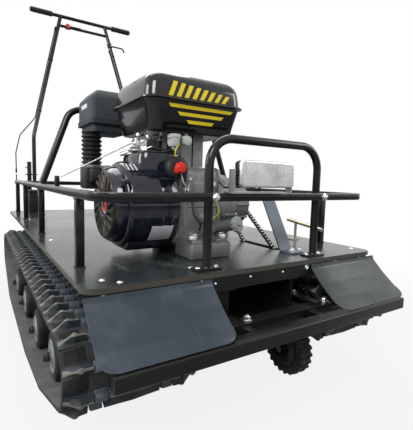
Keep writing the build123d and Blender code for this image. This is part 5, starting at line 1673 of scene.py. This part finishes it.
def place_floor():
    side = 40.0
    mesh = bpy.data.meshes.new("floor")
    corners = [(-side, -side, 0), (side, -side, 0), (side, side, 0), (-side, side, 0)]
    mesh.from_pydata(corners, [], [(0, 1, 2, 3)])
    floor = bpy.data.objects.new("floor", mesh)
    bpy.context.scene.collection.objects.link(floor)
    made = Finish("floor_white", Roughness=0.9)
    made.colour((0.4, 0.4, 0.4))
    across, along = made.axis("X"), made.axis("Y")
    far = (across * across + along * along).smooth(0.6, 5.0)
    seen = made.node("ShaderNodeLightPath", "Is Camera Ray")
    white = made.node("ShaderNodeEmission", "Emission")
    mix = made.tree.nodes.new("ShaderNodeMixShader")
    made.put(mix.inputs[0], seen * (far * 0.14 + 0.86))
    made.tree.links.new(made.shader.outputs[0], mix.inputs[1])
    made.put(mix.inputs[2], white)
    made.tree.links.new(mix.outputs[0], made.tree.nodes["Material Output"].inputs["Surface"])
    mesh.materials.append(made.material)


def place_lights():
    world = bpy.data.worlds.new("studio")
    bpy.context.scene.world = world
    world.use_nodes = True
    nodes = world.node_tree.nodes
    links = world.node_tree.links
    background = nodes["Background"]
    path = nodes.new("ShaderNodeLightPath")
    seen = nodes.new("ShaderNodeMath")
    seen.operation = "ADD"
    seen.use_clamp = True
    links.new(path.outputs["Is Camera Ray"], seen.inputs[0])
    mirrored = nodes.new("ShaderNodeMath")
    mirrored.operation = "ADD"
    links.new(path.outputs["Is Glossy Ray"], mirrored.inputs[0])
    links.new(path.outputs["Is Transmission Ray"], mirrored.inputs[1])
    links.new(mirrored.outputs[0], seen.inputs[1])
    strength = nodes.new("ShaderNodeMapRange")
    links.new(seen.outputs[0], strength.inputs["Value"])
    strength.inputs["To Min"].default_value = 0.17
    strength.inputs["To Max"].default_value = 1.0
    links.new(strength.outputs["Result"], background.inputs["Strength"])
    background.inputs["Color"].default_value = (1, 1, 1, 1)
    for name, spot, size, power in (
        ("key", (-2.4, -2.9, 2.9), 1.5, 110.0),
        ("side", (-3.4, 0.4, 1.9), 1.4, 60.0),
        ("fill", (2.8, -2.4, 2.2), 1.4, 40.0),
        ("top", (0.2, 1.6, 3.8), 3.2, 120.0),
    ):
        lamp = bpy.data.lights.new(name, "AREA")
        lamp.size = size
        lamp.energy = power
        holder = bpy.data.objects.new(name, lamp)
        holder.location = spot
        aim = Vector((0.0, -0.2, 0.5)) - Vector(spot)
        holder.rotation_euler = aim.to_track_quat("-Z", "Y").to_euler()
        bpy.context.scene.collection.objects.link(holder)


def place_camera(settings):
    data = bpy.data.cameras.new("camera")
    camera = bpy.data.objects.new("camera", data)
    data.lens = settings.lens
    turn = Matrix.Rotation(-settings.heading, 4, "Z") @ Matrix.Rotation(math.pi / 2 - settings.dip, 4, "X")
    camera.matrix_world = Matrix.Translation(settings.place) @ turn @ Matrix.Rotation(settings.roll, 4, "Z")
    bpy.context.scene.collection.objects.link(camera)
    bpy.context.scene.camera = camera


class SNOWTUG_PT_panel(bpy.types.Panel):
    """Lists the steps that dress the snow tug"""

    bl_label = "Snow tug"
    bl_idname = "SNOWTUG_PT_panel"
    bl_space_type = "VIEW_3D"
    bl_region_type = "UI"
    bl_category = "Snow tug"

    def draw(self, context):
        for step in STEPS:
            self.layout.operator(step.bl_idname)


STEPS = (
    SNOWTUG_OT_paint,
    SNOWTUG_OT_tracks,
    SNOWTUG_OT_wheels,
    SNOWTUG_OT_railing,
    SNOWTUG_OT_front,
    SNOWTUG_OT_lamp,
    SNOWTUG_OT_engine,
    SNOWTUG_OT_fan,
    SNOWTUG_OT_tank,
    SNOWTUG_OT_intake,
    SNOWTUG_OT_handlebar,
    SNOWTUG_OT_rear,
    SNOWTUG_OT_stage,
)
GROUPS = (("snowtug_colours", TugColours), ("snowtug_tracks", TugTracks), ("snowtug_camera", TugCamera))


def register():
    for name, group in GROUPS:
        bpy.utils.register_class(group)
        setattr(bpy.types.Scene, name, bpy.props.PointerProperty(type=group))
    for step in STEPS:
        bpy.utils.register_class(step)
    bpy.utils.register_class(SNOWTUG_PT_panel)


def unregister():
    bpy.utils.unregister_class(SNOWTUG_PT_panel)
    for step in reversed(STEPS):
        bpy.utils.unregister_class(step)
    for name, group in reversed(GROUPS):
        delattr(bpy.types.Scene, name)
        bpy.utils.unregister_class(group)


def main():
    register()
    bpy.context.scene.view_settings.view_transform = "Standard"
    for step in STEPS:
        group, action = step.bl_idname.split(".")
        getattr(getattr(bpy.ops, group), action)()


if __name__ == "__main__":
    main()
